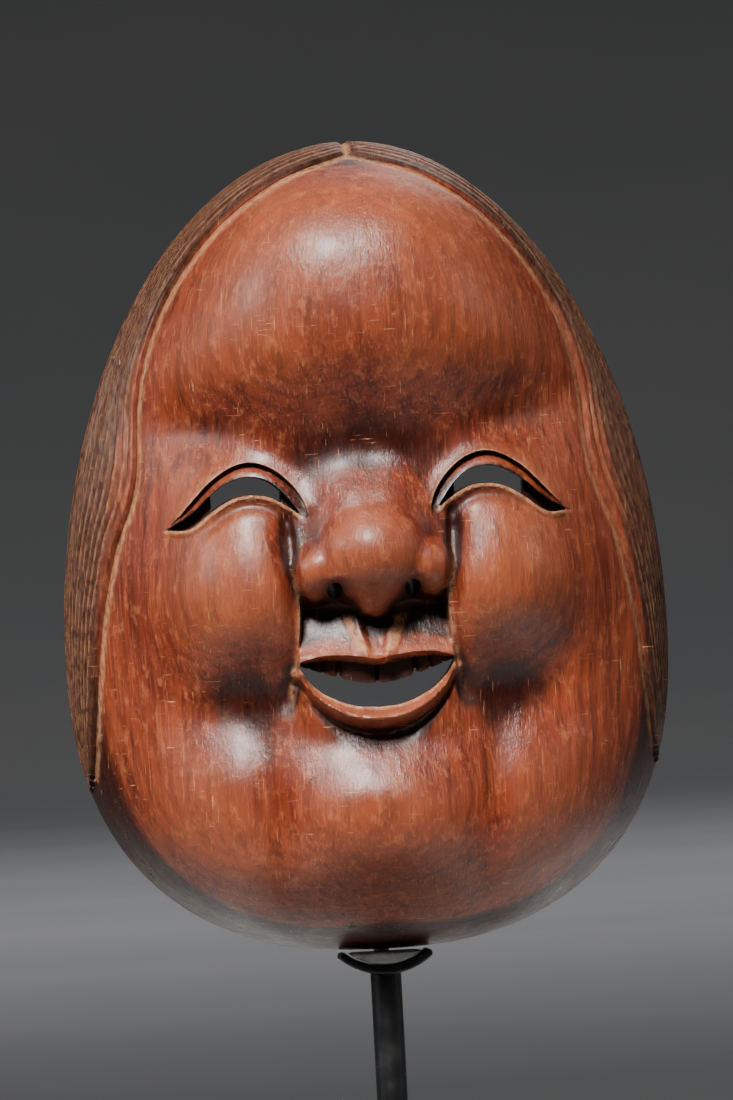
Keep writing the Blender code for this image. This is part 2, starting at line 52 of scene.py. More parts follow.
# the mask in millimetres: x across, z up from the chin's lowest point, depth forward from the rim's plane
HALF_WIDTH, HEIGHT, WIDEST_Z = 78.5, 210.0, 80.0
CENTRE_Z = 92.0  # where the spokes start
DOME_DEPTH, HOLLOW_DEPTH, WALL_AT_RIM = 53.0, 43.0, 8.3
SLIT_DEPTH = 5.0
EYE_HOLE = (22.3, 40.2)  # the open part of the slit, across
NOSTRIL = (10.0, 93.8, 2.1)  # centre and radius
NOSTRIL_RISE = 6.0  # from front to back
TEETH_DEPTH, MOUTH_END = 54.4, 19.8
HAIR_END_Z = 46.0
STRANDS, FIRST_STRAND, GROOVE_DEPTH = 9, 3.2, 1.3
# the mesh in millimetres: the spokes, steep walls' width, steps, and how near a line counts as on it
SPOKES = 480
WALL_STEP, LINE_STEP = 0.25, 0.35
FACE_STEP, FINE_STEP, BACK_STEP = 1.3, 0.6, 1.9
ON_LINE = 0.03

# the stand in metres, as the CAD has it
CRADLE_RADIUS, CRADLE_STEEL, CRADLE_HALF_WIDTH = 0.0186, 0.0022, 0.0118
HOOK_RADIUS, HOOK_BEND = 0.0020, 0.0065
HOOK_CORNERS = [(0.0303, 0.120), (0.0445, 0.120), (0.0445, 0.1545), (0.0245, 0.1545), (0.0245, 0.1445)]

mask_low, mask_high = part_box("mask")
RIM_Y, CHIN_Z = mask_high[1], mask_low[2]


# ---- curves and small functions


def spline(points):
    """A smooth curve through given points, as a function of the first coordinate."""
    table = np.array(points, float)
    xs, ys = table[:, 0], table[:, 1]
    slopes = np.gradient(ys, xs)

    def at(value):
        value = np.clip(np.asarray(value, float), xs[0], xs[-1])
        i = np.clip(np.searchsorted(xs, value) - 1, 0, len(xs) - 2)
        step = xs[i + 1] - xs[i]
        t = (value - xs[i]) / step
        near = (2 * t**3 - 3 * t**2 + 1) * ys[i] + (t**3 - 2 * t**2 + t) * step * slopes[i]
        far = (3 * t**2 - 2 * t**3) * ys[i + 1] + (t**3 - t**2) * step * slopes[i + 1]
        return near + far

    return at


def smooth_line(points, step=0.4):
    """A polyline with even steps on a Catmull-Rom curve through given points."""
    p = np.array(points, float)
    p = np.vstack([2 * p[0] - p[1], p, 2 * p[-1] - p[-2]])
    t = np.linspace(0, 1, 24, endpoint=False)[:, None]
    out = []
    for a, b, c, d in zip(p, p[1:], p[2:], p[3:]):
        square, cube = 2 * a - 5 * b + 4 * c - d, 3 * b - a - 3 * c + d
        out.append(0.5 * (2 * b + (c - a) * t + square * t**2 + cube * t**3))
    line = np.vstack(out + [p[-2:-1]])
    run = np.concatenate([[0], np.cumsum(np.linalg.norm(np.diff(line, axis=0), axis=1))])
    at = np.linspace(0, run[-1], max(int(run[-1] / step), 2) + 1)
    return np.column_stack([np.interp(at, run, line[:, 0]), np.interp(at, run, line[:, 1])])


def shifted(line, distance):
    """The polyline moved sideways, to its left for a positive distance."""
    ahead = np.gradient(line, axis=0)
    ahead /= np.linalg.norm(ahead, axis=1)[:, None]
    return line + distance * np.column_stack([-ahead[:, 1], ahead[:, 0]])


def line_distance(p, line):
    """Signed distance (left of the line is positive) and run along the line, for each point."""
    out_d, out_run = np.full(len(p), 99.0), np.zeros(len(p))
    low, high = line.min(axis=0) - 12, line.max(axis=0) + 12
    near = np.flatnonzero(((p > low) & (p < high)).all(axis=1))
    a, d = line[:-1], np.diff(line, axis=0)
    length = np.linalg.norm(d, axis=1)
    run = np.concatenate([[0], np.cumsum(length)])
    for part in np.array_split(near, max(len(near) // 4000, 1)):
        if not len(part):
            continue
        to = p[part][:, None] - a[None]
        t = np.clip((to * d).sum(-1) / length**2, 0, 1)
        away = to - t[..., None] * d
        dist = np.linalg.norm(away, axis=-1)
        best = dist.argmin(axis=1)
        rows = np.arange(len(part))
        cross = d[best, 0] * to[rows, best, 1] - d[best, 1] * to[rows, best, 0]
        out_d[part] = dist[rows, best] * np.where(cross >= 0, 1, -1)
        out_run[part] = run[best] + t[rows, best] * length[best]
    return out_d, out_run, run[-1]


def ramp(low, high, value):
    t = np.clip((value - low) / (high - low), 0, 1)
    return t * t * (3 - 2 * t)


def hump(value, middle, width, power=2):
    """A smooth hump of height 1 round a middle value."""
    return np.exp(-(((value - middle) / width) ** power))


def window(value, start, full, fading, gone):
    """Rises to 1 between start and full, and falls again between fading and gone."""
    return ramp(start, full, value) * ramp(gone, fading, value)


def soft_max(a, b, blend):
    return np.maximum(a, b) + np.maximum(blend - np.abs(a - b), 0) ** 2 / (4 * blend)


def turned(u, z, centre_u, centre_z, degrees):
    c, s = math.cos(math.radians(degrees)), math.sin(math.radians(degrees))
    du, dz = u - centre_u, z - centre_z
    return du * c + dz * s, dz * c - du * s


def swelling(u, z, centre_u, centre_z, size_u, size_z, degrees=0.0, power=1.0):
    a, b = turned(u, z, centre_u, centre_z, degrees)
    return np.exp(-(((a / size_u) ** 2 + (b / size_z) ** 2) ** power))


def ball(u, z, centre_u, centre_z, base, radius_u, radius_z, depth, degrees=0.0):
    """A ball's front, which goes on downwards at the slope that it has near its edge."""
    edge, height_there, slope_there = 0.97, 0.2431, 3.99
    a, b = turned(u, z, centre_u, centre_z, degrees)
    d = np.sqrt((a / radius_u) ** 2 + (b / radius_z) ** 2)
    top = np.sqrt(np.clip(1 - d**2, 0, 1))
    return base + depth * np.where(d < edge, top, height_there - (d - edge) * slope_there)


# ---- the carving's lines, right half

CREASE = smooth_line(
    [(15.8, 112.6), (16.6, 116.6), (19.0, 120.8), (22.8, 124.7), (26.6, 126.9), (30.6, 127.7), (35, 126.6),
     (40, 123.4), (44.5, 119.0), (48.3, 114.9), (51.2, 112.2)]
)
SLIT_TOP = spline(
    [(17.6, 113.8), (19.8, 117.2), (24, 121.9), (30.3, 124.2), (36, 122.9), (41, 119.4), (45, 115.7),
     (51.8, 111.7)]
)
SLIT_LOW = spline(
    [(17.6, 113.4), (21, 116), (24.5, 118.1), (30.3, 119.3), (35.5, 118.2), (39.5, 115.9), (46.2, 111.3),
     (51.8, 111.4)]
)
EYE_TIPS = (17.6, 51.8)
slit_u = np.linspace(*EYE_TIPS, 90)
SLIT_TOP_LINE, SLIT_LOW_LINE = (
    smooth_line(np.column_stack([slit_u, edge(slit_u)]), LINE_STEP) for edge in (SLIT_TOP, SLIT_LOW)
)
LIP_EDGE = spline([(0, 75.8), (4, 76.6), (9, 77.2), (15, 77.1), (20, 75.8)])
LIP_UNDER = spline([(0, 74.2), (4, 75.0), (9, 75.9), (15, 76.1), (20, 75.2)])
LIP_LOW = spline([(0, 63.4), (6, 64.0), (11, 65.8), (15.5, 68.6), (18.5, 71.8), (19.8, 74.0)])
TOOTH_BASE = spline([(0, 69.6), (4, 69.9), (9.3, 71.2), (14, 72.8), (18, 74.2), (19.8, 74.9)])
TOOTH_GAPS = ((0.0, 0.38, 0.9, 1.1), (9.8, 0.55, 1.6, 1.6), (13.7, 0.32, 0.6, 0.8), (17.2, 0.3, 0.5, 0.7))
MOUTH_SIDE = spline([(60, 22.6), (71, 20.8), (82, 19.2), (89, 18.6), (101, 20.0), (113, 20.6)])
NOSE_LIFT = spline(
    [(84, 12), (96, 15), (104, 16), (112, 15), (118, 12), (125, 7.4), (134, 3), (143, 0.6), (150, 0)]
)
NOSE_WIDTH = spline([(84, 15), (106, 15.5), (116, 14.5), (126, 14.5), (136, 18), (150, 24)])
HAIRLINE = spline(
    [(30, 75.5), (40, 74.4), (48, 73.0), (64, 71.6), (78, 70.2), (91, 68.4), (101, 66.2), (109, 64.0),
     (117, 60.8), (125, 58.6), (134, 57.8), (144, 57.2), (158, 54), (172, 47.6), (182, 40.5), (190, 32.8),
     (196, 24.8), (202, 13.2), (206, 0)]
)


def tooth_line(u):
    """The lower edge of the teeth, notched at each gap."""
    u = np.abs(u)
    z = TOOTH_BASE(u)
    for at, wide, notch, _ in TOOTH_GAPS:
        z = z + notch * hump(u, at, wide)
    return z


def half_width(z):
    up = np.clip((z - WIDEST_Z) / (HEIGHT - WIDEST_Z), 0, 1)
    down = np.clip((WIDEST_Z - z) / WIDEST_Z, 0, 1)
    return HALF_WIDTH * np.where(z > WIDEST_Z, np.sqrt(1 - up**2), (1 - down**2.4) ** (1 / 2.4))


# ---- the carved form


def dome(x, z):
    across = np.clip(np.abs(x) / np.maximum(half_width(z), 1e-3), 0, 1)
    up = np.clip((z - WIDEST_Z) / (HEIGHT - WIDEST_Z), 0, 1)
    down = np.clip((WIDEST_Z - z) / WIDEST_Z, 0, 1)
    middle = np.sqrt(1 - np.where(z > WIDEST_Z, up**8.0, down**5.0))
    return DOME_DEPTH * middle * (1 - across**2.6) ** 0.66


def broad_form(x, z):
    """The big rounded forms of the face."""
    u = np.abs(x)
    plain = dome(x, z)
    from_top = np.where(z > 170, (np.abs(z - 170) / 41) ** 4, (np.abs(z - 170) / 32) ** 2.8)
    depth = plain + 20.5 * np.exp(-from_top - (u / 50) ** 2.6)  # forehead
    for lift, *form in (
        (-3.0, 0, 130, 20, 9),  # root of the nose
        (-2.5, 42, 139, 17, 8, 4),  # under the brow
        (5.0, 32, 120, 20, 13.5, -8, 1.2),  # eye
        (14.0, 35, 95, 19.5, 19.5, -14, 1.25),  # cheek
        (-5.2, 34, 67, 15, 13, -16),  # below the cheek
        (4.5, 43, 34, 22, 23, 20, 1.1),  # jowl
        (-2.4, 27.5, 38, 5.5, 20, -8),  # between chin and jowl
        (9.0, 0, 34, 21, 17, 0, 1.3),  # chin
        (-1.2, 0, 56, 18, 5),  # over the chin
        (6.5, 0, 76, 23, 17, 0, 1.4),  # round the mouth
    ):
        depth = depth + lift * swelling(u, z, *form)
    edge = ramp(0.90, 1.0, u / np.maximum(half_width(z), 1e-3))
    return depth + (plain - depth) * edge


def nose(u, z, under):
    """The nose over whatever lies under it: a bridge, a round tip, a low middle and two wings."""
    bridge = under + NOSE_LIFT(z) * hump(u, 0, NOSE_WIDTH(z), 2.6) * ramp(89, 98, z)
    bulb = ball(u, z, 0, 103.5, 51, 15.5, 14.8, 23)
    tail = ball(u, z, 0, 95.8, 52, 7.0, 10.2, 14)
    wing = ball(u, z, 14.0, 99.6, 47, 8.2, 10.2, 19.5, 14)
    balls = soft_max(soft_max(bulb, tail, 4), wing, 2.2)
    return soft_max(bridge, balls, np.interp(z, [88, 100], [1.0, 4.0]))


def ridge_place(z):
    """Where the philtrum's ridge and its facet's outer edge lie."""
    rise = np.clip(z, 76, 91) - 77
    return 2.7 + rise * 0.22, 5.4 + rise * 0.32


def upper_lip(u, z, depth):
    reach = np.clip((90.5 - z) / 13.5, 0, 1)
    plate = 54.5 + 6.0 * reach**1.7 - 0.0065 * u**2
    ridge, outer = ridge_place(z)
    plate = plate - 1.0 * ramp(ridge, ridge * 0.4, u)
    plate = plate - 1.3 * np.clip((u - ridge) / (outer - ridge), 0, 1)
    share = ramp(MOUTH_SIDE(z) + 0.5, MOUTH_SIDE(z) - 0.3, u) * window(z, 70, 73, 90, 94)
    return depth * (1 - share) + plate * share


def lower_lip(u, z, depth):
    below = (LIP_LOW(np.minimum(u, MOUTH_END)) - z) / (3.7 - 0.004 * u**2)
    lip = 57.2 + 2.9 * hump(below, 0.74, 0.42) - 0.011 * u**2
    depth = depth - 1.6 * hump(below, 1.9, 0.7) * ramp(24, 19, u)
    share = window(below, -1.6, -0.4, 1.05, 1.9) * ramp(23.5, 19.5, u) * ramp(76.5, 74.5, z)
    return depth * (1 - share) + lip * share


def teeth(u, z, depth):
    """The lip's underside, and the teeth set back behind it."""
    front = TEETH_DEPTH - 0.008 * u**2 + 0.10 * (z - 70)
    for at, wide, _, deep in TOOTH_GAPS:
        front = front - deep * hump(u, at, wide)
    inside = (u < MOUTH_END) & (z < LIP_EDGE(u)) & (z > 62)
    under = depth - 3.2 * np.clip((LIP_EDGE(u) - z) / np.maximum(LIP_EDGE(u) - LIP_UNDER(u), 0.2), 0, 1)
    back = ramp(0, WALL_STEP, LIP_UNDER(u) - z)
    end = ramp(MOUTH_END, MOUTH_END - WALL_STEP, u)
    behind = depth * (1 - end) + (under * (1 - back) + front * back) * end
    return np.where(inside & (z > tooth_line(u) - 1.0), behind, depth)


def in_slit(u, z):
    return (u > EYE_TIPS[0]) & (u < EYE_TIPS[1]) & (z < SLIT_TOP(u)) & (z > SLIT_LOW(u))


def eye_detail(u, z, depth):
    """The lid under its crease, the slit's raised lower rim, and the slit itself."""
    p = np.column_stack([u, z])
    inward, run, total = line_distance(p, CREASE)
    away = -inward
    fade = window(run, -0.5, 4.0, total - 9.0, total + 0.5)
    above = ramp(-0.15, 0.15, away)
    lid = (1 - above) * 0.75 * hump(away, 0, 2.4) - above * 1.7 * hump(away, 0.2, 1.5)
    depth = depth + np.where(np.abs(away) < 9, fade * lid, 0)
    from_low, low_run, low_total = line_distance(p, SLIT_LOW_LINE)
    from_low, from_top = np.abs(from_low), np.abs(line_distance(p, SLIT_TOP_LINE)[0])
    below = np.where((z < SLIT_LOW(u) + ON_LINE) & (from_low < 12), from_low, 99)
    dip = hump(below, 2.8, 1.6) * window(u, 17, 22, 37, 44)
    ends = window(low_run, -0.5, 2.5, low_total - 2.0, low_total + 0.3)
    depth = depth + np.where(below < 20, (hump(below, 0.35, 0.7) - dip) * ends, 0)
    wall = ramp(0, WALL_STEP, np.minimum(from_low, from_top))
    return depth - np.where(in_slit(u, z), SLIT_DEPTH * wall, 0)


def hand_carved(x, z):
    """The slight unevenness of a surface worked by hand, in millimetres."""
    out = np.empty(len(x))
    for i, (a, b) in enumerate(zip(x.tolist(), z.tolist())):
        wide = noise.noise((a * 0.045, 3.1, b * 0.045))
        fine = noise.noise((a * 0.16, 7.7, b * 0.13))
        out[i] = 0.42 * wide + 0.11 * fine
    return out


def face_depth(x, z, rough=True):
    u = np.abs(x)
    plain = broad_form(x, z)
    side = MOUTH_SIDE(z)
    zone = window(z, 60, 68, 108, 116)
    depth = plain - 2.6 * hump(u - side, 0.6, 3.2) * ramp(side - 1.5, side - 0.3, u) * zone
    depth = lower_lip(u, z, depth)
    depth = upper_lip(u, z, depth)
    depth = nose(u, z, depth)
    depth = depth - 1.6 * swelling(u, z, NOSTRIL[0], NOSTRIL[1] - 0.3, 3.6, 3.2, power=1.5)
    depth = teeth(u, z, depth)
    depth = eye_detail(u, z, depth)
    if rough:
        depth = depth + hand_carved(x, z) * ramp(0.0, 6.0, depth)
    return depth


# ---- spokes, hairline and hair

turns = 2 * np.pi * np.arange(SPOKES) / SPOKES
sines, cosines = np.sin(turns), np.cos(turns)


def spoke_reach(inside):
    """For each spoke, how far the test stays true, by halving."""
    low, high = np.zeros(SPOKES), np.full(SPOKES, 140.0)
    for _ in range(44):
        reach = (low + high) / 2
        ok = inside(np.abs(reach * sines), CENTRE_Z + reach * cosines)
        low, high = np.where(ok, reach, low), np.where(ok, high, reach)
    return low


def in_outline(x, z):
    return (z > 0) & (z < HEIGHT) & (np.abs(x) < half_width(np.clip(z, 0, HEIGHT)))


def in_hairline(x, z):
    return (z > 30) & (z < 206) & (x < HAIRLINE(np.clip(z, 30, 206)))


# how far the outline, the hairline and the face's own mesh reach from the centre, on each spoke
outline = spoke_reach(in_outline)
hair_reach = spoke_reach(in_hairline)
hair_reach = np.where(CENTRE_Z + outline * cosines < HAIR_END_Z - 12, outline * 1.2, hair_reach)
face_reach = np.minimum(hair_reach, 0.972 * outline)


def spoke_line(reach):
    """A point on each spoke, in x and z."""
    return np.column_stack([reach * sines, CENTRE_Z + reach * cosines])


def from_centre(x, z):
    return np.hypot(x, z - CENTRE_Z)


def around(x, z, values):
    """A per-spoke value at any point, by its direction from the centre."""
    turn = np.arctan2(x, z - CENTRE_Z) % (2 * np.pi)
    return np.interp(turn, np.append(turns, 2 * np.pi), np.append(values, values[0]))


def hair_presence(z):
    return ramp(HAIR_END_Z - 8, HAIR_END_Z + 2, z)


def inside_hairline(x, z):
    """Roughly how far a point lies inside the hairline, along the surface."""
    return (around(x, z, hair_reach) - from_centre(x, z)) * 1.25


def groove_side(x, z):
    """The face's side of the groove along the hair, as a change in depth."""
    inward = inside_hairline(x, z)
    return (0.30 * hump(inward, 2.5, 1.1) - GROOVE_DEPTH * ramp(1.7, 0.1, inward)) * hair_presence(z)


def looked_up(at, run, values):
    """Each spoke's value at its own place along its run."""
    return np.array([np.interp(a, b, c) for a, b, c in zip(at, run, values)])


def band_rows():
    """Rows from the face's boundary to the rim, over the hair, as reach, depth, paleness and painted shade.
    """
    spread = 1 - (1 - np.linspace(0, 1, 220)) ** 2.0
    reach = face_reach[:, None] + (outline - face_reach)[:, None] * spread
    depth = broad_form(reach * sines[:, None], CENTRE_Z + reach * cosines[:, None])
    depth[:, -1] = 0
    run = np.hypot(np.diff(reach, axis=1), np.diff(depth, axis=1))
    run = np.concatenate([np.zeros((SPOKES, 1)), np.cumsum(run, axis=1)], axis=1)
    whole = run[:, -1]
    hair_at = np.array([np.interp(h, r, s, right=s[-1] + 3.0) for h, r, s in zip(hair_reach, reach, run)])
    first = 0.105  # the share that the groove and the roll beside it take
    shares = [0.0, *(first * np.array([0.12, 0.25, 0.4, 0.6, 0.8, 1.0]))]
    for k in range(STRANDS):
        shares += list(first + (1 - first) * (k + np.array([0.16, 0.34, 0.5, 0.66, 0.84, 1.0])) / STRANDS)
    rows = []
    for share in shares:
        at = whole * share * (1 - 0.6 / whole)
        out, deep = looked_up(at, run, reach), looked_up(at, run, depth)
        ahead, back = np.minimum(at + 0.4, whole), np.maximum(at - 0.4, 0)
        outward = looked_up(ahead, run, reach) - looked_up(back, run, reach)
        forward = looked_up(ahead, run, depth) - looked_up(back, run, depth)
        size = np.maximum(np.hypot(outward, forward), 1e-6)
        lift, pale, dark = hair_relief(at - hair_at, whole - hair_at, *spoke_line(out).T)
        deep = np.maximum(deep + lift * outward / size, 0.55 if share == 1.0 else 0)
        rows.append((out - lift * forward / size, deep, pale, dark))
    return rows


def hair_relief(beyond, width, x, z):
    """Lift along the surface's normal, paleness and painted shade, at a distance beyond the hairline."""
    here = hair_presence(z)
    width = np.maximum(width, 0.5)
    face_side = -GROOVE_DEPTH * ramp(-1.7, -0.1, beyond)
    rise = ramp(0.0, 1.0, beyond)
    raised = 1.05 * (1 - ramp(0.1, 0.75, np.clip(beyond / width, 0, 1)))
    first = np.minimum(FIRST_STRAND, 0.3 * width)
    across = (beyond - first) / np.maximum(width - first, 0.3) * STRANDS
    phase = across - np.floor(across)
    valley = hump(np.abs(phase - 0.5), 0.5, 0.17)
    in_strands = window(across, -0.15, 0.1, STRANDS - 0.6, STRANDS + 0.1)
    wave = 1 + 0.25 * np.sin(across * 2.1 + z * 0.05)
    deep = 0.75 * np.clip((width - first) / STRANDS / 1.7, 0.0, 1.0) * wave
    hair_side = -GROOVE_DEPTH * (1 - rise) + raised * rise - deep * valley * in_strands
    part = ramp(1.7, 0.8, np.abs(x)) * (z > 190) * ramp(0.0, 0.8, beyond)
    hair_side = hair_side * (1 - part) - 0.9 * part * ramp(2.2, 0.2, np.abs(x))
    shoulder = 0.82 * hump(beyond, -0.7, 1.1)
    crest = 0.62 * hump(phase, 0.5, 0.24) * in_strands * (beyond > 0)
    # paler parting, shoulder, band and strand crests: partly worn, partly painted highlight
    pale = part
    for worn in (shoulder, 0.28 * (beyond > 0.8), crest):
        pale = np.maximum(pale, worn * here)
    # painted shade in the strands' valleys and the groove along the hairline
    dark = np.maximum(0.6 * valley * in_strands * (beyond > 0), 0.8 * hump(beyond, 0.15, 0.35)) * here
    return np.where(beyond < 0, face_side, hair_side) * here, pale, dark * (1 - part)


# ---- the mask's mesh


def both_sides(lines):
    return [line * np.array([side, 1.0]) for line in lines for side in (1.0, -1.0)]


def along_z(place, low, high, step=0.4):
    z = np.linspace(low, high, int((high - low) / step) + 1)
    return np.column_stack([place(z), z])


def along_u(place, low, high, step=0.35):
    u = np.linspace(low, high, int((high - low) / step) + 1)
    return np.column_stack([u, place(u)])


def circle(x, z, radius, count):
    t = 2 * np.pi * np.arange(count) / count
    return np.column_stack([x + radius * np.sin(t), z + radius * np.cos(t)])


def feature_lines():
    """Open lines, and closed loops, that mesh edges have to follow."""
    half = [shifted(CREASE, away) for away in (0.15, -0.15, 1.5, -1.6)]
    half += [shifted(SLIT_LOW_LINE, -0.75), shifted(SLIT_LOW_LINE, -1.6)[3:-3]]
    half += [along_z(lambda z: MOUTH_SIDE(z) + 0.5, 66, 101), along_z(lambda z: MOUTH_SIDE(z) - 0.3, 71, 92)]
    half += [along_z(lambda z: ridge_place(z)[0], 77.8, 88), along_z(lambda z: ridge_place(z)[1], 77.8, 88)]
    for edge in EYE_HOLE:
        half.append(np.column_stack([np.full(9, edge), np.linspace(*hole_span(edge), 9)]))
    lines = both_sides(half)
    for place in (LIP_EDGE, LIP_UNDER, lambda u: LIP_UNDER(u) - WALL_STEP):
        right = along_u(place, 0, MOUTH_END)
        lines.append(np.vstack([(right * (-1, 1))[::-1], right[1:]]))
    slit = np.vstack([SLIT_TOP_LINE, SLIT_LOW_LINE[::-1][1:-1]])
    inner_top, inner_low = shifted(SLIT_TOP_LINE, -WALL_STEP)[4:-4], shifted(SLIT_LOW_LINE, WALL_STEP)[4:-4]
    loops = both_sides([slit, np.vstack([inner_top, inner_low[::-1]]), circle(*NOSTRIL, 28)])
    u = np.linspace(0, MOUTH_END, 100)[:-1]
    low = np.column_stack([u, LIP_LOW(u)])
    high = np.column_stack([u, np.maximum(tooth_line(u), LIP_LOW(u) + 0.02)])
    corner = (MOUTH_END, 0.5 * (LIP_LOW(MOUTH_END) + tooth_line(MOUTH_END)))
    right = np.vstack([low, corner, high[::-1]])
    loops.append(np.vstack([right, (right[::-1] * (-1, 1))[1:-1]]))
    return lines, loops


def hole_span(u):
    """The lower and upper edge of the eye's opening, a step inside the carved slit."""
    found = []
    for edge, side in ((SLIT_LOW, 1.0), (SLIT_TOP, -1.0)):
        slope = (edge(u + 0.2) - edge(u - 0.2)) / 0.4
        found.append(edge(u) + side * WALL_STEP * np.sqrt(1 + slope**2))
    return found


def in_hole(x, z):
    """Points inside an eye's, a nostril's or the mouth's opening."""
    u = np.abs(x)
    nostril = np.hypot(u - NOSTRIL[0], z - NOSTRIL[1]) < NOSTRIL[2] * 0.985
    mouth = (u < MOUTH_END) & (z > LIP_LOW(np.minimum(u, MOUTH_END))) & (z < tooth_line(u)) & (z < 76)
    low_z, high_z = hole_span(u)
    eye = (u > EYE_HOLE[0]) & (u < EYE_HOLE[1]) & (z > low_z) & (z < high_z)
    return nostril | mouth | eye


def hex_points(low, high, step):
    xs = np.arange(low[0], high[0], step)
    zs = np.arange(low[1], high[1], step * 0.866)
    x, z = np.meshgrid(xs, zs)
    x[1::2] += step / 2
    return np.column_stack([x.ravel(), z.ravel()])


def in_fine_zone(p):
    u, z = np.abs(p[:, 0]), p[:, 1]
    return (u > 13) & (u < 54) & (z > 106) & (z < 131) | (u < 25) & (z > 57) & (z < 117)


def border_reach(points, border):
    """How far the border lies from the centre, in each point's direction."""
    return around(*points.T, from_centre(*border.T))


def clear_of(points, fixed, distance):
    """The points that are further than a distance from every fixed one."""
    tree = KDTree(len(fixed))
    for i, (x, z) in enumerate(fixed):
        tree.insert((x, z, 0), i)
    tree.balance()
    return [p for p in points.tolist() if tree.find((*p, 0))[2] > distance]


def triangulate(border, verts, edges, slack, tolerance):
    """Points, triangles inside the border and outside the holes, and the given points that each one is."""
    points, _, faces, sources, _, _ = delaunay_2d_cdt([Vector(v) for v in verts], edges, [], 0, tolerance)
    points, faces = np.array([tuple(v) for v in points]), np.array(faces)
    middle = points[faces].mean(axis=1)
    faces = faces[(from_centre(*middle.T) < border_reach(middle, border) - slack) & ~in_hole(*middle.T)]
    a, b, c = (points[faces[:, i]] for i in range(3))
    area = (b[:, 0] - a[:, 0]) * (c[:, 1] - a[:, 1]) - (b[:, 1] - a[:, 1]) * (c[:, 0] - a[:, 0])
    faces = np.where((area > 0)[:, None], faces, faces[:, ::-1])
    return points, faces[np.abs(area) > 1e-9], sources


def front_mesh(border, lines, loops):
    """The face's points, its triangles with edges on every line, and the places of the border's points."""
    fixed = np.vstack([border] + lines + loops)
    verts = fixed.tolist()
    wide = hex_points((-80, 0), (80, 211), FACE_STEP)
    fine = hex_points((-80, 40), (80, 140), FINE_STEP)
    for points, step in ((wide[~in_fine_zone(wide)], FACE_STEP), (fine[in_fine_zone(fine)], FINE_STEP)):
        inside = from_centre(*points.T) < border_reach(points, border) - 0.4 * step
        verts += clear_of(points[inside & ~in_hole(*points.T)], fixed, 0.55 * step)
    edges = []
    start = 0
    for line, closed in [(border, True)] + [(n, False) for n in lines] + [(n, True) for n in loops]:
        end = start + len(line) - 1
        edges += [(i, i + 1) for i in range(start, end)] + [(end, start)] * closed
        start = end + 1
    points, faces, sources = triangulate(border, verts, edges, ON_LINE, 1e-5)
    place = {given: i for i, found in enumerate(sources) for given in found}
    return points, faces, [place[k] for k in range(SPOKES)]


def open_edges(faces):
    """Directed edges that only one triangle has."""
    ends = np.concatenate([faces[:, [0, 1]], faces[:, [1, 2]], faces[:, [2, 0]]])
    key = np.sort(ends, axis=1)
    _, index, count = np.unique(key, axis=0, return_inverse=True, return_counts=True)
    return ends[count[index.reshape(-1)] == 1]


def hollow_depth(x, z, inner):
    """The back's depth: a bowl with room for the forehead, nose, cheeks and chin, and the gouge's marks."""
    u = np.abs(x)
    share = np.clip(from_centre(x, z) / around(x, z, inner), 0, 1)
    depth = HOLLOW_DEPTH
    for room, *form in ((15, 0, 170, 42, 30, 0, 1.4), (8, 0, 104, 15, 15), (6, 36, 94, 18, 18, 0, 1.2),
                        (5, 0, 38, 42, 20, 0, 1.3)):
        depth = depth + room * swelling(u, z, *form)
    steepness = 3.6 + 3.0 * ramp(110, 190, z)
    depth = depth * np.sqrt(np.maximum(1 - share**steepness, 0.0))
    return depth + gouge_marks(x, z) * ramp(0, 8, depth)


def gouge_marks(x, z):
    """Shallow overlapping scoops left by a gouge."""
    out = np.empty(len(x))
    for i, (a, b) in enumerate(zip(x.tolist(), z.tolist())):
        near, _ = noise.voronoi((a * 0.11, 0.0, b * 0.075))
        out[i] = -0.9 * near[0] ** 2 + 0.5 * noise.noise((a * 0.05, 5.0, b * 0.05))
    return out


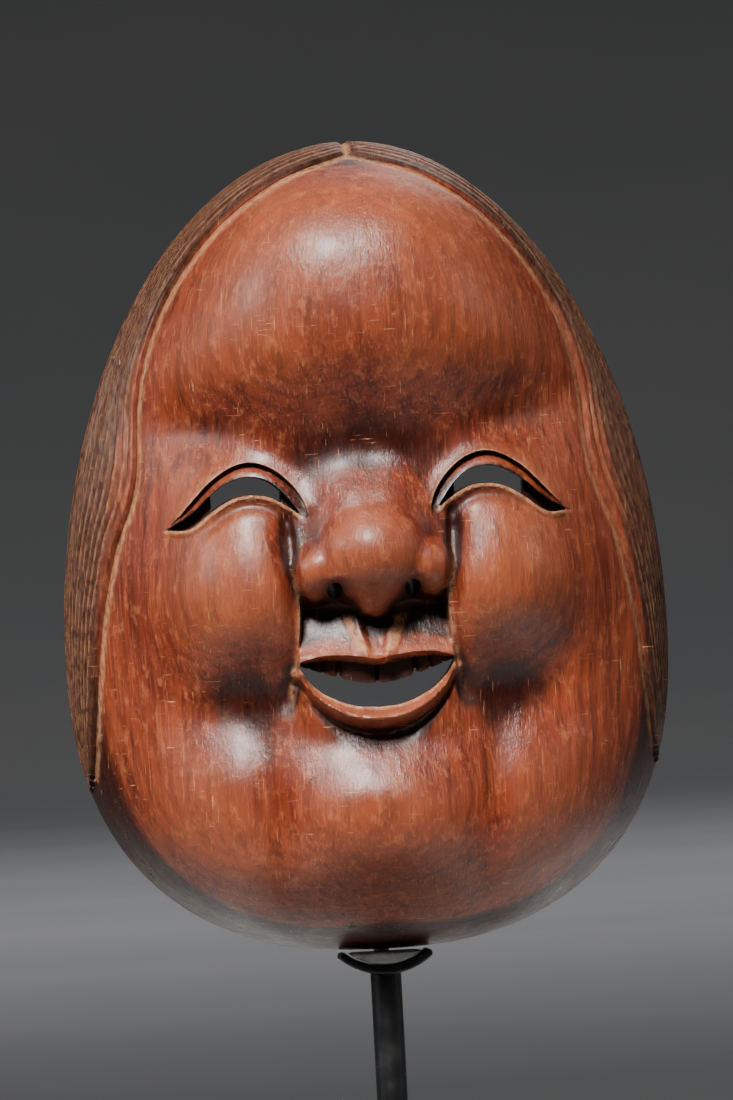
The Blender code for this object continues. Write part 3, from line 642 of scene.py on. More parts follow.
def paleness(x, z):
    """Paler edges, partly worn and partly painted highlight, and painted shade in the cuts, each from 0 to
    1.
    """
    u = np.abs(x)
    p = np.column_stack([u, z])
    from_crease, run, total = line_distance(p, CREASE)
    fade = window(run, 0, 3, total - 6, total)
    from_low = np.abs(line_distance(p, SLIT_LOW_LINE)[0])
    under_eye = (z < SLIT_LOW(u) + ON_LINE) & (from_low < 10) & (u > 16) & (u < 53)
    below = np.where(under_eye, from_low, 99)
    # painted shade above the lid's crease and under the slit's lower rim
    bag = 0.6 * hump(below, 2.3, 1.2) * window(u, 18, 24, 34, 42)
    dark = np.maximum(0.8 * hump(-from_crease, 0.55, 0.6) * fade, bag)
    # paler lid ridge and lower rim: partly worn, partly painted highlight
    pale = np.maximum(hump(from_crease, 0.28, 0.38) * fade, 0.85 * hump(below, 0.25, 0.75))
    # the slit's inside painted fully dark, as shade
    slit = in_slit(u, z) & (from_low > 0.12)
    dark, pale = np.where(slit, 1.0, dark), np.where(slit, 0, pale)
    beside_mouth = hump(u - MOUTH_SIDE(z), 0.6, 1.3) * window(z, 60, 70, 90, 108)
    # painted highlight on the philtrum's facets
    facet = hump(u, 3.6 + 0.40 * (z - 78), 1.8, 4) * window(z, 77, 78.5, 86, 88.5)
    lip = hump(LIP_LOW(np.minimum(u, MOUTH_END)) - z, 0.25, 0.45) * (u < MOUTH_END) * (z < 75)
    under_nose = ramp(10, 1, np.abs(u - 9)) * hump(z, 89.3, 1.3) * (u < 18)
    # paler edges, partly worn; on the facets, painted highlight
    for worn in (0.62 * beside_mouth, 0.9 * facet, lip, 0.35 * under_nose):
        pale = np.maximum(pale, worn)
    # painted shade behind the upper lip and in the teeth's gaps
    inside = (u < MOUTH_END) & (z < LIP_UNDER(u)) & (z > tooth_line(u) - 1)
    dark = np.where(inside, 0.55 + 0.45 * ramp(tooth_line(u) + 0.8, LIP_UNDER(u), z), dark)
    pale = np.where(inside, 0.25 * hump(z, tooth_line(u) + 0.3, 0.5), pale)
    for at, wide, _, _ in TOOTH_GAPS:
        dark = np.where(inside, np.maximum(dark, hump(u, at, wide)), dark)
    # painted shade in the nostrils
    dark = np.maximum(dark, 0.9 * swelling(u, z, *NOSTRIL[:2], 3.2, 2.8, power=2))
    return np.maximum(pale, 0.82 * hump(inside_hairline(x, z), 0.9, 1.25) * hair_presence(z)), dark


class Shell:
    """The mask's points, shades and faces, grown outwards from the face's last ring of points."""

    def __init__(self, points, shades, faces, ring):
        self.points, self.shades, self.faces, self.ring = [points], [shades], [faces], ring
        self.count = len(points)

    def add(self, line, depth, pale, dark):
        """More points, whose first SPOKES of them are joined to the last ring."""
        self.points.append(np.column_stack([line[:, 0], np.broadcast_to(-depth, len(line)), line[:, 1]]))
        self.shades.append(np.column_stack([np.broadcast_to(shade, len(line)) for shade in (pale, dark)]))
        old, new = self.ring, self.count + np.arange(SPOKES)
        next_old, next_new = np.roll(old, -1), np.roll(new, -1)
        self.faces += [np.column_stack([old, new, next_new]), np.column_stack([old, next_new, next_old])]
        self.ring = new
        self.count += len(line)


def build_mask():
    lines, loops = feature_lines()
    lines += [spoke_line(face_reach - inset) for inset in (0.9, 1.9)]
    points, front, ring = front_mesh(spoke_line(face_reach), lines, loops)
    used, front = np.unique(front, return_inverse=True)
    front, ring, points = front.reshape(-1, 3), np.searchsorted(used, ring), points[used]
    x, z = points.T
    depth = face_depth(x, z) + groove_side(x, z)
    shell = Shell(np.column_stack([x, -depth, z]), np.column_stack(paleness(x, z)), front, ring)
    rows = band_rows()
    settle = depth[ring] - rows[0][1]
    for k, (reach, row_depth, pale, dark) in enumerate(rows[1:], 1):
        shell.add(spoke_line(reach), row_depth + settle * math.exp(-k / 2.5), pale, dark)
    inner = outline - WALL_AT_RIM
    for reach in (outline - 0.6, (outline + inner) / 2, inner + 0.7):
        shell.add(spoke_line(reach), 0.0, 0.25, 0.0)
    add_hollow(shell, points, front, set(ring.tolist()), inner)
    return finish_mask(np.vstack(shell.points), np.vstack(shell.faces), np.vstack(shell.shades))


def add_hollow(shell, points, front, ring, inner):
    """The carved-out back with the same openings, and the walls of the openings."""
    hole_edges = [edge for edge in open_edges(front).tolist() if not ring.issuperset(edge)]
    hole_points = sorted({i for edge in hole_edges for i in edge})
    place = {v: SPOKES + i for i, v in enumerate(hole_points)}
    back_edges = [(place[a], place[b]) for a, b in hole_edges]
    back, faces = back_mesh(spoke_line(inner), points[hole_points], back_edges)
    from_nostril = np.hypot(np.abs(back[:, 0]) - NOSTRIL[0], back[:, 1] - NOSTRIL[1])
    back[:, 1] += NOSTRIL_RISE * hump(from_nostril, 0, 10.0)
    depth = hollow_depth(*back.T, inner)
    depth[:SPOKES] = 0.6
    start = shell.count
    # the carved-out back: a little paler, with some painted shade
    shell.add(back, depth, 0.12, 0.25)
    shell.faces.append(faces[:, ::-1] + start)
    for (a, b), (c, d) in zip(hole_edges, back_edges):
        shell.faces.append([(b, a, start + c), (b, start + c, start + d)])


def back_mesh(border, holes, hole_edges):
    """A triangulation of the hollow whose first points are the border's and then the holes'."""
    fixed = np.vstack([border, holes])
    grid = hex_points((-75, 5), (75, 205), BACK_STEP)
    inside = from_centre(*grid.T) < border_reach(grid, border) - 0.8
    verts = fixed.tolist() + clear_of(grid[inside & ~in_hole(*grid.T)], fixed, 0.8)
    edges = [(i, (i + 1) % SPOKES) for i in range(SPOKES)] + hole_edges
    points, faces, sources = triangulate(border, verts, edges, 0.0, 1e-6)
    first = [min(found) if found else len(verts) + i for i, found in enumerate(sources)]
    order = np.argsort(first, kind="stable")
    return points[order], np.argsort(order)[faces]


def add_object(name, data):
    obj = bpy.data.objects.new(name, data)
    bpy.context.scene.collection.objects.link(obj)
    return obj


def from_bmesh(name, shape, sharp=35, mesh=None):
    bmesh.ops.recalc_face_normals(shape, faces=shape.faces)
    mesh = mesh or bpy.data.meshes.new(name)
    shape.to_mesh(mesh)
    shape.free()
    mesh.shade_smooth()
    mesh.set_sharp_from_angle(angle=math.radians(sharp))
    return add_object(name, mesh)


def add_layer(mesh, name, values):
    mesh.attributes.new(name, "FLOAT", "POINT").data.foreach_set("value", values.astype(np.float32))


def finish_mask(points, faces, shades):
    place = points * MM + (0, RIM_Y, CHIN_Z)
    mesh = bpy.data.meshes.new("carved_mask")
    mesh.from_pydata(place.tolist(), [], faces.tolist())
    add_layer(mesh, "pale", shades[:, 0])
    add_layer(mesh, "dark", shades[:, 1])
    shape = bmesh.new()
    shape.from_mesh(mesh)
    bmesh.ops.delete(shape, geom=[v for v in shape.verts if not v.link_faces], context="VERTS")
    return from_bmesh("carved_mask", shape, 42, mesh)


# ---- small solids of the stand


def skin(shape, rings, ends=True):
    """Faces between neighbouring rings, where a ring of one point is a tip, and over the ends."""
    for low, high in zip(rings, rings[1:]):
        count = max(len(low), len(high))
        for i in range(count):
            j = (i + 1) % count
            if len(low) == 1:
                shape.faces.new((low[0], high[i], high[j]))
            elif len(high) == 1:
                shape.faces.new((low[i], low[j], high[0]))
            else:
                shape.faces.new((low[i], low[j], high[j], high[i]))
    if ends:
        shape.faces.new(rings[0][::-1])
        shape.faces.new(rings[-1])


def lathe(name, profile, x, y, segments=64, wobble=0.0, sharp=35):
    """A solid turned about an upright axis, from a profile of (radius, z) that runs from foot to top."""
    shape = bmesh.new()
    rings = []
    for radius, z in profile:
        ring = []
        for i in range(segments if radius > 1e-7 else 1):
            t = 2 * math.pi * i / segments
            r = radius
            if radius > 1e-7:
                r += wobble * noise.noise((math.cos(t) * 1.7, math.sin(t) * 1.7, z * 300))
            ring.append(shape.verts.new((x + r * math.cos(t), y + r * math.sin(t), z)))
        rings.append(ring)
    skin(shape, rings, ends=False)
    return from_bmesh(name, shape, sharp)


def rounded_path(corners, bend, steps=10):
    """A path through the corners with round bends."""
    corners = [Vector(corner) for corner in corners]
    points = [corners[0]]
    for before, corner, after in zip(corners, corners[1:], corners[2:]):
        into, out = (before - corner).normalized(), (after - corner).normalized()
        for k in range(steps + 1):
            t = k / steps
            points.append(corner + into * bend * (1 - t) ** 2 + out * bend * t**2)
    return points + [corners[-1]]


def sweep(name, path, radius_at, segments=28):
    """A round rod along a path in the plane x = 0, with a radius for each place along it."""
    shape = bmesh.new()
    run = [0.0]
    for a, b in zip(path, path[1:]):
        run.append(run[-1] + (b - a).length)
    side = Vector((1, 0, 0))
    turns = [2 * math.pi * i / segments for i in range(segments)]
    rings = []
    for k, point in enumerate(path):
        ahead = (path[min(k + 1, len(path) - 1)] - path[max(k - 1, 0)]).normalized()
        up = ahead.cross(side)
        r = radius_at(run[k], run[-1])
        rings.append([shape.verts.new(point + r * (side * math.cos(t) + up * math.sin(t))) for t in turns])
    skin(shape, rings)
    return from_bmesh(name, shape)


def rounded_rectangle(half_a, half_b, corner, radius, steps):
    """Points round a rectangle, with an arc about each corner's centre."""
    out = []
    for side_a, side_b, start in ((1, 1, 0), (-1, 1, 90), (-1, -1, 180), (1, -1, 270)):
        for k in range(steps + 1):
            t = math.radians(start + 90 * k / steps)
            a = side_a * (half_a - corner) + radius * math.cos(t)
            out.append((a, side_b * (half_b - corner) + radius * math.sin(t)))
    return out


def bent_strip(name, centre_z, inner, thickness, reach, y_low, y_high, edge, steps=56):
    """A flat bar bent to an arc about the Y axis, with rounded edges and ends."""
    shape = bmesh.new()
    half_y, half_t = (y_high - y_low) / 2, thickness / 2
    section = rounded_rectangle(half_y, half_t, edge, edge, 5)
    rings = []
    for k in range(steps + 1):
        t = -1 + 2 * k / steps
        angle = reach * t
        left = (1 - abs(t)) * reach * (inner + half_t) / (edge * 1.6)
        shrink = math.sqrt(max(1 - (1 - left) ** 2, 0.0)) if left < 1 else 1.0
        narrow = (half_y - edge * 1.4 * (1 - shrink)) / half_y
        ring = []
        for y, rise in section:
            r = inner + half_t + rise * (1 - 0.75 * (1 - shrink))
            y = (y_high + y_low) / 2 + y * narrow
            ring.append(shape.verts.new((r * math.sin(angle), y, centre_z - r * math.cos(angle))))
        rings.append(ring)
    skin(shape, rings)
    return from_bmesh(name, shape)


def soft_block(name, low, high, fuzz, cells, round_edge, under):
    """A thick felt piece with rounded edges, an uneven surface, and an underside that follows a curve."""
    shape = bmesh.new()
    low, high = Vector(low), Vector(high)
    middle = (low + high) / 2
    grid = {}

    def corner(*index):
        if index in grid:
            return grid[index]
        share = [i / n for i, n in zip(index, cells)]
        at = Vector([a + (b - a) * s for a, b, s in zip(low, high, share)])
        # round the block's edges by pulling corners in towards an inner box
        inner = Vector([min(max(c, a + round_edge), b - round_edge) for c, a, b in zip(at, low, high)])
        away = at - inner
        if away.length > 1e-9:
            at = inner + away.normalized() * max(abs(c) for c in away)
        at.z += under(at.x) * (1 - share[2])
        at -= (at - middle).normalized() * abs(noise.noise(at * 700) * fuzz)
        grid[index] = shape.verts.new(at)
        return grid[index]

    for fixed in range(3):
        across, along = [axis for axis in range(3) if axis != fixed]
        for end in (0, cells[fixed]):
            for i in range(cells[across]):
                for j in range(cells[along]):
                    square = []
                    for a, b in ((i, j), (i + 1, j), (i + 1, j + 1), (i, j + 1)):
                        index = [end] * 3
                        index[across], index[along] = a, b
                        square.append(corner(*index))
                    shape.faces.new(square)
    return from_bmesh(name, shape, 80)


def rounded_plate(name, low, high, corner, edge, steps=5):
    """A plate with round corners and soft edges above and below."""
    shape = bmesh.new()
    half, middle = (high - low) / 2, (high + low) / 2
    turns = [math.radians(90 * k / steps) for k in range(steps + 1)]
    levels = [(edge * (1 - math.sin(t)), low.z + edge * (1 - math.cos(t))) for t in turns]
    levels += [(edge * (1 - math.cos(t)), high.z - edge * (1 - math.sin(t))) for t in turns]
    rings = []
    for inset, z in levels:
        flat = rounded_rectangle(half.x, half.y, corner, corner - inset, 12)
        rings.append([shape.verts.new((middle.x + x, middle.y + y, z)) for x, y in flat])
    skin(shape, rings)
    return from_bmesh(name, shape, 50)


# ---- materials


class Shader:
    """A small helper that strings nodes together."""

    def __init__(self, name):
        self.material = bpy.data.materials.new(name)
        self.material.use_nodes = True
        self.tree = self.material.node_tree
        self.main = self.tree.nodes["Principled BSDF"]
        self.place = self.add("TexCoord").outputs["Object"]

    def add(self, kind, inputs=(), **settings):
        """A new node, with its settings, and values or links for its inputs by name or number."""
        node = self.tree.nodes.new("ShaderNode" + kind)
        for key, value in settings.items():
            setattr(node, key, value)
        for key, value in dict(inputs).items():
            self.put(node.inputs[key], value)
        return node

    def put(self, target, value):
        if isinstance(value, bpy.types.NodeSocket):
            self.tree.links.new(value, target)
        else:
            target.default_value = value

    def noise(self, scale, detail, rough, warp=0.0, turn=0.0):
        """Noise with its own scale along each axis, from 0 to 1."""
        place = {"Vector": self.place, "Scale": scale, "Rotation": (0.0, turn, 0.0)}
        where = self.add("Mapping", place).outputs["Vector"]
        look = {"Vector": where, "Scale": 1.0, "Detail": detail, "Roughness": rough, "Distortion": warp}
        return self.add("TexNoise", look).outputs["Fac"]

    def rings(self, shift, scale, warp, warp_scale):
        """Year rings about an upright axis, from 0 to 1."""
        place = {"Vector": self.place, "Location": shift, "Rotation": (0.06, -0.04, 0.0)}
        where = self.add("Mapping", place).outputs["Vector"]
        look = {"Vector": where, "Scale": scale, "Distortion": warp, "Detail": 3.0}
        look["Detail Scale"] = warp_scale
        return self.add("TexWave", look, wave_type="RINGS", rings_direction="Z").outputs["Fac"]

    def attribute(self, name):
        return self.add("Attribute", attribute_name=name).outputs["Fac"]

    def span(self, value, low, high, to_low=0.0, to_high=1.0):
        limits = {"Value": value, "From Min": low, "From Max": high, "To Min": to_low, "To Max": to_high}
        return self.add("MapRange", limits, interpolation_type="SMOOTHSTEP").outputs["Result"]

    def math(self, kind, a, b):
        return self.add("Math", {0: a, 1: b}, operation=kind).outputs[0]

    def mix(self, share, a, b, blend="MIX"):
        sides = {"Factor": share, "A": a, "B": b}
        return self.add("Mix", sides, data_type="RGBA", blend_type=blend).outputs["Result"]

    def tints(self, colour, steps):
        """The colour after steps of (value, low, high, most, new), each of which mixes a new one in."""
        for value, low, high, most, new in steps:
            colour = self.mix(self.span(value, low, high, 0.0, most), colour, rgb(*new))
        return colour

    def bumps(self, steps):
        """A normal from (height, distance, strength) steps."""
        normal = None
        for height, distance, strength in steps:
            look = {"Distance": distance, "Strength": strength, "Height": height}
            if normal:
                look["Normal"] = normal
            normal = self.add("Bump", look).outputs["Normal"]
        return normal

    def finish(self, colour, roughness, normal, **fixed):
        look = {"Base Color": colour, "Roughness": roughness, "Normal": normal}
        for key, value in {**look, **fixed}.items():
            self.put(self.main.inputs[key.replace("_", " ")], value)
        return self.material


def rgb(red, green, blue):
    """A colour given as the eye sees it, from 0 to 255, as linear light."""
    out = []
    for c in (red / 255, green / 255, blue / 255):
        out.append(c / 12.92 if c <= 0.04045 else ((c + 0.055) / 1.055) ** 2.4)
    return (*out, 1.0)


def small_marks(s, worn):
    """Short pale scratches in three directions, more of them where the wood is worn."""
    marks = 0.0
    for scale, turn, least in (
        ((150, 150, 2400), 0.5, 0.69), ((2200, 300, 120), -0.35, 0.69), ((1900, 500, 90), 0.12, 0.70)
    ):
        marks = s.math("MAXIMUM", marks, s.span(s.noise(scale, 2.0, 0.5, turn=turn), least, 0.75))
    return s.math("MULTIPLY", marks, s.span(worn, 0.4, 0.6, 0.25, 1.0))


def waxed_wood():
    s = Shader("waxed carved wood")
    # year rings about an upright axis well behind the mask, so that they curve round each carved form
    pith = (-0.026, -0.175, 0.0)
    rings, wide_rings = s.rings(pith, 118.0, 9.0, 0.18), s.rings(pith, 31.0, 7.0, 0.16)
    base = s.noise((9, 9, 5), 4.0, 0.55)
    grain = s.noise((380, 380, 13), 6.0, 0.62, 0.2)
    fibre = s.noise((1500, 1500, 55), 5.0, 0.68)
    pores = s.noise((2300, 2300, 150), 3.0, 0.55)
    cloud = s.noise((42, 42, 26), 5.0, 0.62, 0.5)
    mottle = s.noise((330, 330, 210), 5.0, 0.72)
    colour = s.mix(s.span(base, 0.3, 0.7), rgb(126, 50, 28), rgb(148, 63, 35))
    colour = s.tints(colour, (
        (wide_rings, 0.2, 0.9, 0.45, (98, 34, 22)),
        (rings, 0.55, 0.98, 0.42, (86, 29, 19)),
        (cloud, 0.45, 0.75, 0.55, (168, 83, 48)),
        (cloud, 0.48, 0.25, 0.50, (84, 28, 18)),
        (grain, 0.46, 0.68, 0.78, (74, 25, 16)),
        (fibre, 0.52, 0.68, 0.60, (178, 97, 60)),
        (mottle, 0.52, 0.68, 0.55, (184, 106, 68)),
        (pores, 0.60, 0.70, 0.62, (58, 22, 15)),
    ))
    # the mesh's layers: painted shade in the deep places and the cuts, and paler raised places and edges
    cavity_shade, dark, pale = s.attribute("cavity_shade"), s.attribute("dark"), s.attribute("pale")
    # painted shade darkens the deep places; the raised ones are tinted paler
    colour = s.mix(s.span(cavity_shade, -0.02, 0.55, 0.0, 0.95), colour, rgb(98, 80, 76), "MULTIPLY")
    colour = s.tints(colour, [(cavity_shade, -0.1, -1.0, 0.22, (206, 122, 84))])
    # painted shade in the cuts, broken up unevenly
    uneven_shade = s.span(s.noise((260, 260, 120), 4.0, 0.6), 0.2, 0.7, 0.72, 0.95)
    colour = s.mix(s.math("MULTIPLY", dark, uneven_shade), colour, rgb(46, 18, 12))
    # paler edges: partly rubbed wear, partly painted highlight
    uneven_wear_and_highlight = s.span(s.noise((700, 700, 420), 5.0, 0.7), 0.3, 0.62, 0.30, 1.0)
    colour = s.tints(colour, [(s.math("MULTIPLY", pale, uneven_wear_and_highlight), 0.08, 0.95, 0.80, (208, 150, 108))])
    marks = small_marks(s, cloud)
    colour = s.mix(s.math("MULTIPLY", marks, 0.55), colour, rgb(222, 158, 118))
    rough = s.span(s.noise((90, 90, 60), 6.0, 0.66), 0.3, 0.7, 0.27, 0.45)
    for dull, share in ((pale, 0.25), (dark, 0.15), (s.span(pores, 0.60, 0.70), 0.15)):
        rough = s.math("ADD", rough, s.math("MULTIPLY", dull, share))
    normal = s.bumps((
        (grain, 0.00030, 0.9), (fibre, 0.00012, 0.8), (pores, 0.00009, 0.7), (mottle, 0.00028, 0.9),
        (marks, 0.00005, 0.6),
    ))
    return s.finish(colour, rough, normal, Coat_Weight=0.14, Coat_Roughness=0.26, IOR=1.5)


def painted_steel(name, tint, gloss, worn=0.5):
    """Black paint on steel with an orange-peel skin, dust and small worn specks."""
    s = Shader(name)
    peel = s.noise((1500, 1500, 1500), 3.0, 0.5)
    dust = s.noise((70, 70, 70), 6.0, 0.65)
    speck = s.noise((2600, 2600, 2600), 2.0, 0.5)
    steps = ((dust, 0.45, 0.75, 0.35, (74, 72, 70)), (speck, 0.70, 0.78, worn, (120, 116, 110)))
    rough = s.span(dust, 0.35, 0.7, gloss, gloss + 0.18)
    normal = s.bumps(((peel, 0.00005, 0.5), (speck, 0.00003, 0.4)))
    return s.finish(s.tints(rgb(*tint), steps), rough, normal, Coat_Weight=0.1, Coat_Roughness=0.3)


def felt(name, light, deep):
    s = Shader(name)
    fibre = s.noise((2400, 900, 2400), 6.0, 0.7, 1.2, 0.6)
    cross = s.noise((800, 2600, 1500), 6.0, 0.7, 1.2, -0.4)
    both = s.math("MULTIPLY", s.math("ADD", fibre, cross), 0.5)
    soil = s.noise((160, 160, 160), 4.0, 0.6)
    colour = s.tints(rgb(*deep), ((both, 0.35, 0.65, 1.0, light), (soil, 0.55, 0.8, 0.35, deep)))
    rough = s.span(both, 0.3, 0.7, 0.84, 0.97)
    return s.finish(colour, rough, s.bumps([(both, 0.0003, 0.8)]), Sheen_Weight=0.35, Sheen_Roughness=0.5)


def rubber():
    s = Shader("black rubber")
    skin_noise = s.noise((1900, 1900, 1900), 5.0, 0.6)
    bloom = s.noise((180, 180, 180), 4.0, 0.6)
    colour = s.tints(rgb(24, 24, 25), [(bloom, 0.4, 0.75, 0.5, (58, 57, 56))])
    return s.finish(colour, s.span(skin_noise, 0.3, 0.7, 0.55, 0.72), s.bumps([(skin_noise, 0.00006, 0.6)]))


def zinc_screw():
    s = Shader("zinc screw")
    turning = s.noise((900, 900, 5200), 4.0, 0.6)
    stain = s.noise((400, 400, 400), 5.0, 0.6)
    colour = s.tints(rgb(150, 152, 156), [(stain, 0.4, 0.7, 1.0, (104, 104, 102))])
    rough = s.span(turning, 0.3, 0.7, 0.28, 0.46)
    return s.finish(colour, rough, s.bumps([(turning, 0.00004, 0.5)]), Metallic=1.0)


def backdrop_paper():
    s = Shader("pale paper")
    tooth = s.noise((300, 300, 300), 5.0, 0.6)
    cloud = s.noise((1.6, 1.6, 1.6), 3.0, 0.5)
    colour = s.tints(rgb(196, 196, 194), [(cloud, 0.3, 0.7, 1.0, (204, 203, 201))])
    return s.finish(colour, s.span(tooth, 0.3, 0.7, 0.82, 0.92), s.bumps([(tooth, 0.0001, 0.2)]))


# ---- the pieces


def dress(obj, material, body, node):
    obj.data.materials.clear()
    obj.data.materials.append(material)
    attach(obj, body)
    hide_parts(node)


def round_box(node):
    """The place, radius, foot and top of an upright round node."""
    low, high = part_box(node)
    return (low.x + high.x) / 2, (low.y + high.y) / 2, (high.x - low.x) / 2, low.z, high.z


def build_post(material, steps=60):
    x, y, r, foot, _ = round_box("post")
    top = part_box("cradle")[0].z + 0.0009
    profile = [(0, foot), (r - 0.0006, foot), (r - 0.0002, foot + 0.0002), (r, foot + 0.0006)]
    profile += [(r, foot + 0.0008 + (top - foot - 0.0034) * k / steps) for k in range(steps + 1)]
    # the weld that joins the rod to the arc swells a little below it
    profile += [(r + 0.00002, top - 0.0022), (r, top - 0.0016), (r, top), (0, top)]
    dress(lathe("post_rod", profile, x, y, 72, 0.00002), material, "stand", "post")


def cradle_arc():
    """Inner radius and centre height of the CAD cradle's arc."""
    return CRADLE_RADIUS - CRADLE_STEEL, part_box("cradle")[0].z + CRADLE_RADIUS


def build_cradle(material):
    low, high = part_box("cradle")
    inner, centre_z = cradle_arc()
    reach = math.asin(CRADLE_HALF_WIDTH / (inner + CRADLE_STEEL / 2))
    arc = bent_strip("cradle_arc", centre_z, inner, CRADLE_STEEL, reach, low.y, high.y, 0.0006)
    dress(arc, material, "stand", "cradle")


def build_pad(material):
    r = cradle_arc()[0] - 0.0002

    def sag(x):
        """How far the arc's inside rises above its lowest point."""
        return r - math.sqrt(max(r * r - x * x, 0.0))

    pad = soft_block("felt_pad", *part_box("cradle_pad"), 0.00022, (44, 34, 10), 0.0010, sag)
    dress(pad, material, "stand", "cradle_pad")


def build_hook(material):
    path = [(0, *corner) for corner in HOOK_CORNERS]

    def radius_at(run, whole):
        """The rod's radius, rounded off at both ends."""
        end = min(run, whole - run) / 0.0006
        return HOOK_RADIUS * (math.sqrt(max(1 - (1 - min(end, 1)) ** 2, 0.0)) * 0.25 + 0.75)

    rod = sweep("spring_hook", rounded_path(path, HOOK_BEND, 14), radius_at)
    dress(rod, material, "stand", "hook")


def build_cap(material):
    x, y, r, bottom, top = round_box("hook_cap")
    bore = HOOK_RADIUS + 0.0002
    profile = [(0, bottom)]
    for k in range(1, 9):
        a = math.radians(90 * k / 8)
        profile.append((r * (0.55 + 0.45 * math.sin(a)), bottom + 0.0014 * (1 - math.cos(a))))
    profile += [(r, bottom + 0.0030), (r - 0.0001, bottom + 0.0031), (r, bottom + 0.0032)]
    profile += [(r, top - 0.0006), (r - 0.0002, top - 0.0002), (r - 0.0006, top), (bore + 0.00005, top)]
    profile += [(bore, top - 0.0004), (bore, bottom + 0.0022), (0, bottom + 0.0021)]
    dress(lathe("rubber_cap", profile, x, y, 48), material, "stand", "hook_cap")


def build_base(material):
    plate = rounded_plate("base_slab", *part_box("base_plate"), 0.008, 0.0009)
    dress(plate, material, "stand", "base_plate")


def build_feet(material, soft=0.0005, steps=7):
    for place in ("front_left", "front_right", "back_left", "back_right"):
        x, y, r, foot, top = round_box(f"foot_{place}")
        profile = [(0, foot), (r - soft, foot)]
        for k in range(1, steps):
            a = math.radians(180 * k / steps)
            profile.append((r - soft + soft * math.sin(a), foot + (top - foot) * (1 - math.cos(a)) / 2))
        profile += [(r - soft, top), (0, top)]
        pad = lathe(f"felt_{place}", profile, x, y, 56, 0.00012)
        dress(pad, material, "stand", f"foot_{place}")


def hollowness(points):
    """How far each point lies below (plus) or above (minus) the face smoothed over about a centimetre."""
    step = 1.5
    xs, zs = np.arange(-84, 84.1, step), np.arange(-6, 216.1, step)
    gx, gz = np.meshgrid(xs, zs, indexing="ij")
    inside = in_outline(gx, gz)
    flat = face_depth(gx.ravel(), np.clip(gz.ravel(), 0.5, HEIGHT - 0.5), rough=False).reshape(gx.shape)
    flat = np.where(inside, flat, 0)
    total = np.zeros_like(flat)
    for width, share in ((3.5, 0.45), (9.0, 0.55)):
        reach = int(3 * width / step)
        kernel = hump(np.arange(-reach, reach + 1) * step, 0, width * math.sqrt(2))
        kernel /= kernel.sum()
        fields = [flat * inside, inside.astype(float)]
        for axis in (0, 1):
            fields = [np.apply_along_axis(np.convolve, axis, field, kernel, "same") for field in fields]
        total += share * (fields[0] / np.maximum(fields[1], 1e-3) - flat) / (0.35 * width)
    i = np.clip((points[:, 0] - xs[0]) / step, 0, len(xs) - 1.001)
    j = np.clip((points[:, 1] - zs[0]) / step, 0, len(zs) - 1.001)
    a, b = i.astype(int), j.astype(int)
    s, t = i - a, j - b
    low = total[a, b] * (1 - s) + total[a + 1, b] * s
    high = total[a, b + 1] * (1 - s) + total[a + 1, b + 1] * s
    return low * (1 - t) + high * t


def add_cavity_shade(obj):
    mesh = obj.data
    place = np.empty(len(mesh.vertices) * 3, np.float32)
    mesh.vertices.foreach_get("co", place)
    x, y, z = ((place.reshape(-1, 3) - (0, RIM_Y, CHIN_Z)) / MM).T
    # a layer of painted shade for the face's deep places; the back gets a fixed value that darkens it a
    # little
    front = -y > face_depth(x, z, rough=False) - 6
    add_layer(mesh, "cavity_shade", np.where(front, hollowness(np.column_stack([x, z])), 0.15))


def backdrop(material, radius=10.0, bend=4.0):
    """A very wide round floor that curves up far from the piece, so that no horizon shows."""
    profile = [(0.0, 0.0), (1.0, 0.0), (4.0, 0.0), (radius, 0.0)]
    for k in range(1, 17):
        a = math.radians(78 * k / 16)
        profile.append((radius + bend * math.sin(a), bend * (1 - math.cos(a))))
    floor = lathe("studio_floor", profile, 0, 0, 96, sharp=60)
    floor.data.materials.append(material)


def lamp(name, size, energy, place, target, colour=(1, 1, 1), spread=180):
    """An area light, square or a rectangle, whose spread in degrees narrows its beam."""
    data = bpy.data.lights.new(name, "AREA")
    data.energy, data.color, data.spread = energy, colour, math.radians(spread)
    data.shape = "RECTANGLE"
    data.size, data.size_y = size
    obj = add_object(name, data)
    obj.location = place
    obj.rotation_mode = "QUATERNION"
    obj.rotation_quaternion = (Vector(target) - Vector(place)).to_track_quat("-Z", "Y")


CAMERA_AWAY = 4.0
CAMERA_TURN = math.radians(2.5)
CAMERA_ROLL = math.radians(3.06)
FRAME_HEIGHT = 0.2840


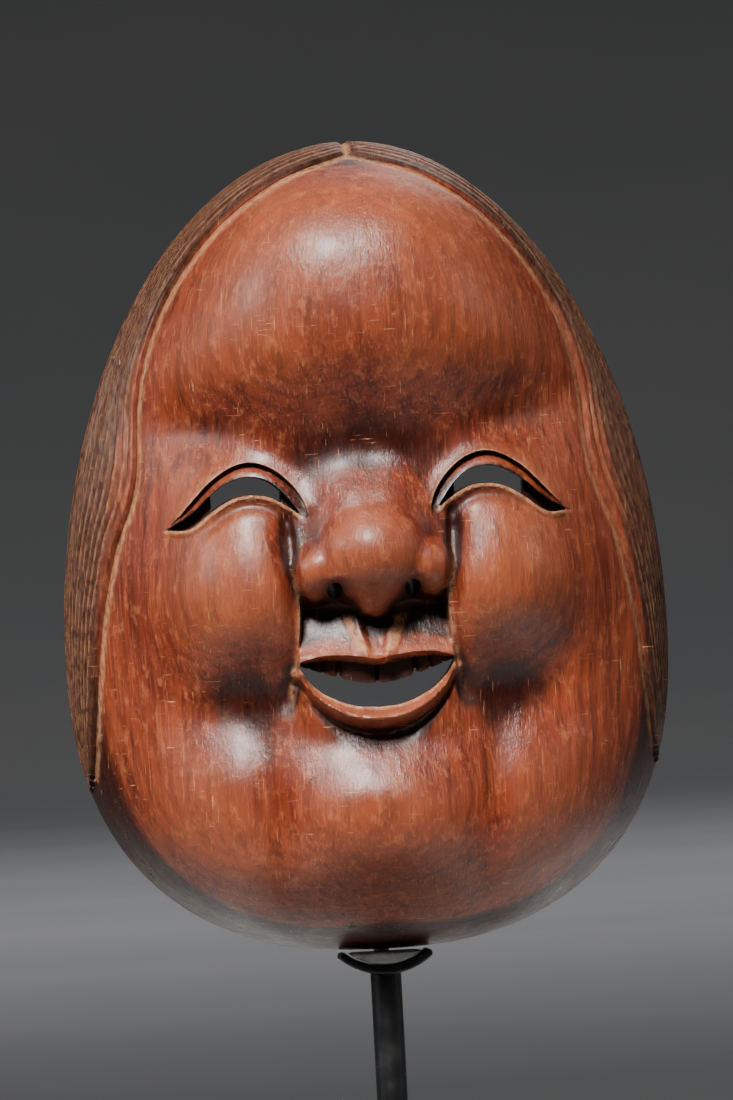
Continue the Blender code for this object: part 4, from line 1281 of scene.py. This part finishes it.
def set_camera():
    target = Vector((0.0, RIM_Y - 0.030, CHIN_Z + 0.1038))
    away = Vector((-math.sin(CAMERA_TURN), -math.cos(CAMERA_TURN), 0.0))
    data = bpy.data.cameras.new("camera")
    data.sensor_width = 36.0
    data.lens = data.sensor_width * CAMERA_AWAY / FRAME_HEIGHT
    data.clip_end = 60.0
    camera = add_object("camera", data)
    upright = Vector((0, 0, 1))
    up = upright * math.cos(CAMERA_ROLL) - away.cross(upright) * math.sin(CAMERA_ROLL)
    turn = Matrix((up.cross(away).normalized(), up, away)).transposed()
    camera.matrix_world = Matrix.Translation(target + away * CAMERA_AWAY) @ turn.to_4x4()
    bpy.context.scene.camera = camera


def set_lights():
    middle = (0.0, 0.0, CHIN_Z + 0.1)
    warm, cool = (1.0, 0.985, 0.96), (0.94, 0.95, 1.0)
    lamp("key", (0.6, 0.5), 2.1, (-0.32, -1.03, 1.28), middle, warm, 17)
    lamp("left side", (0.5, 0.5), 0.20, (-1.35, -0.20, 0.70), middle, warm, 18)
    lamp("right side", (0.5, 0.5), 0.05, (1.35, -0.16, 0.60), middle, warm, 18)
    lamp("fill", (1.2, 1.2), 0.16, (1.3, -1.5, 0.45), middle, (0.97, 0.98, 1.0))
    lamp("back", (0.9, 0.9), 5.5, (0.5, 1.4, 1.5), middle)
    lamp("wash", (6.0, 3.0), 62.0, (0.0, 6.0, 4.5), (0.0, 6.5, 0.0), cool, 130)
    world = bpy.data.worlds.new("studio")
    world.use_nodes = True
    sky = world.node_tree.nodes["Background"].inputs
    sky["Color"].default_value = (0.82, 0.84, 0.87, 1.0)
    sky["Strength"].default_value = 0.03
    bpy.context.scene.world = world


# ---- the scene

mask = build_mask()
add_cavity_shade(mask)
dress(mask, waxed_wood(), "mask", "mask")
black = painted_steel("black paint", (20, 20, 21), 0.30)
build_post(black)
build_cradle(black)
build_pad(felt("pale grey felt", (208, 208, 204), (160, 160, 156)))
build_hook(painted_steel("black hook paint", (22, 22, 23), 0.34))
build_cap(rubber())
build_base(painted_steel("black powder coat", (26, 26, 27), 0.46, 0.3))
build_feet(felt("dark grey felt", (92, 92, 92), (56, 56, 56)))
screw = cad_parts["base_screw"]
screw.data.materials.clear()
screw.data.materials.append(zinc_screw())
backdrop(backdrop_paper())
set_camera()
set_lights()
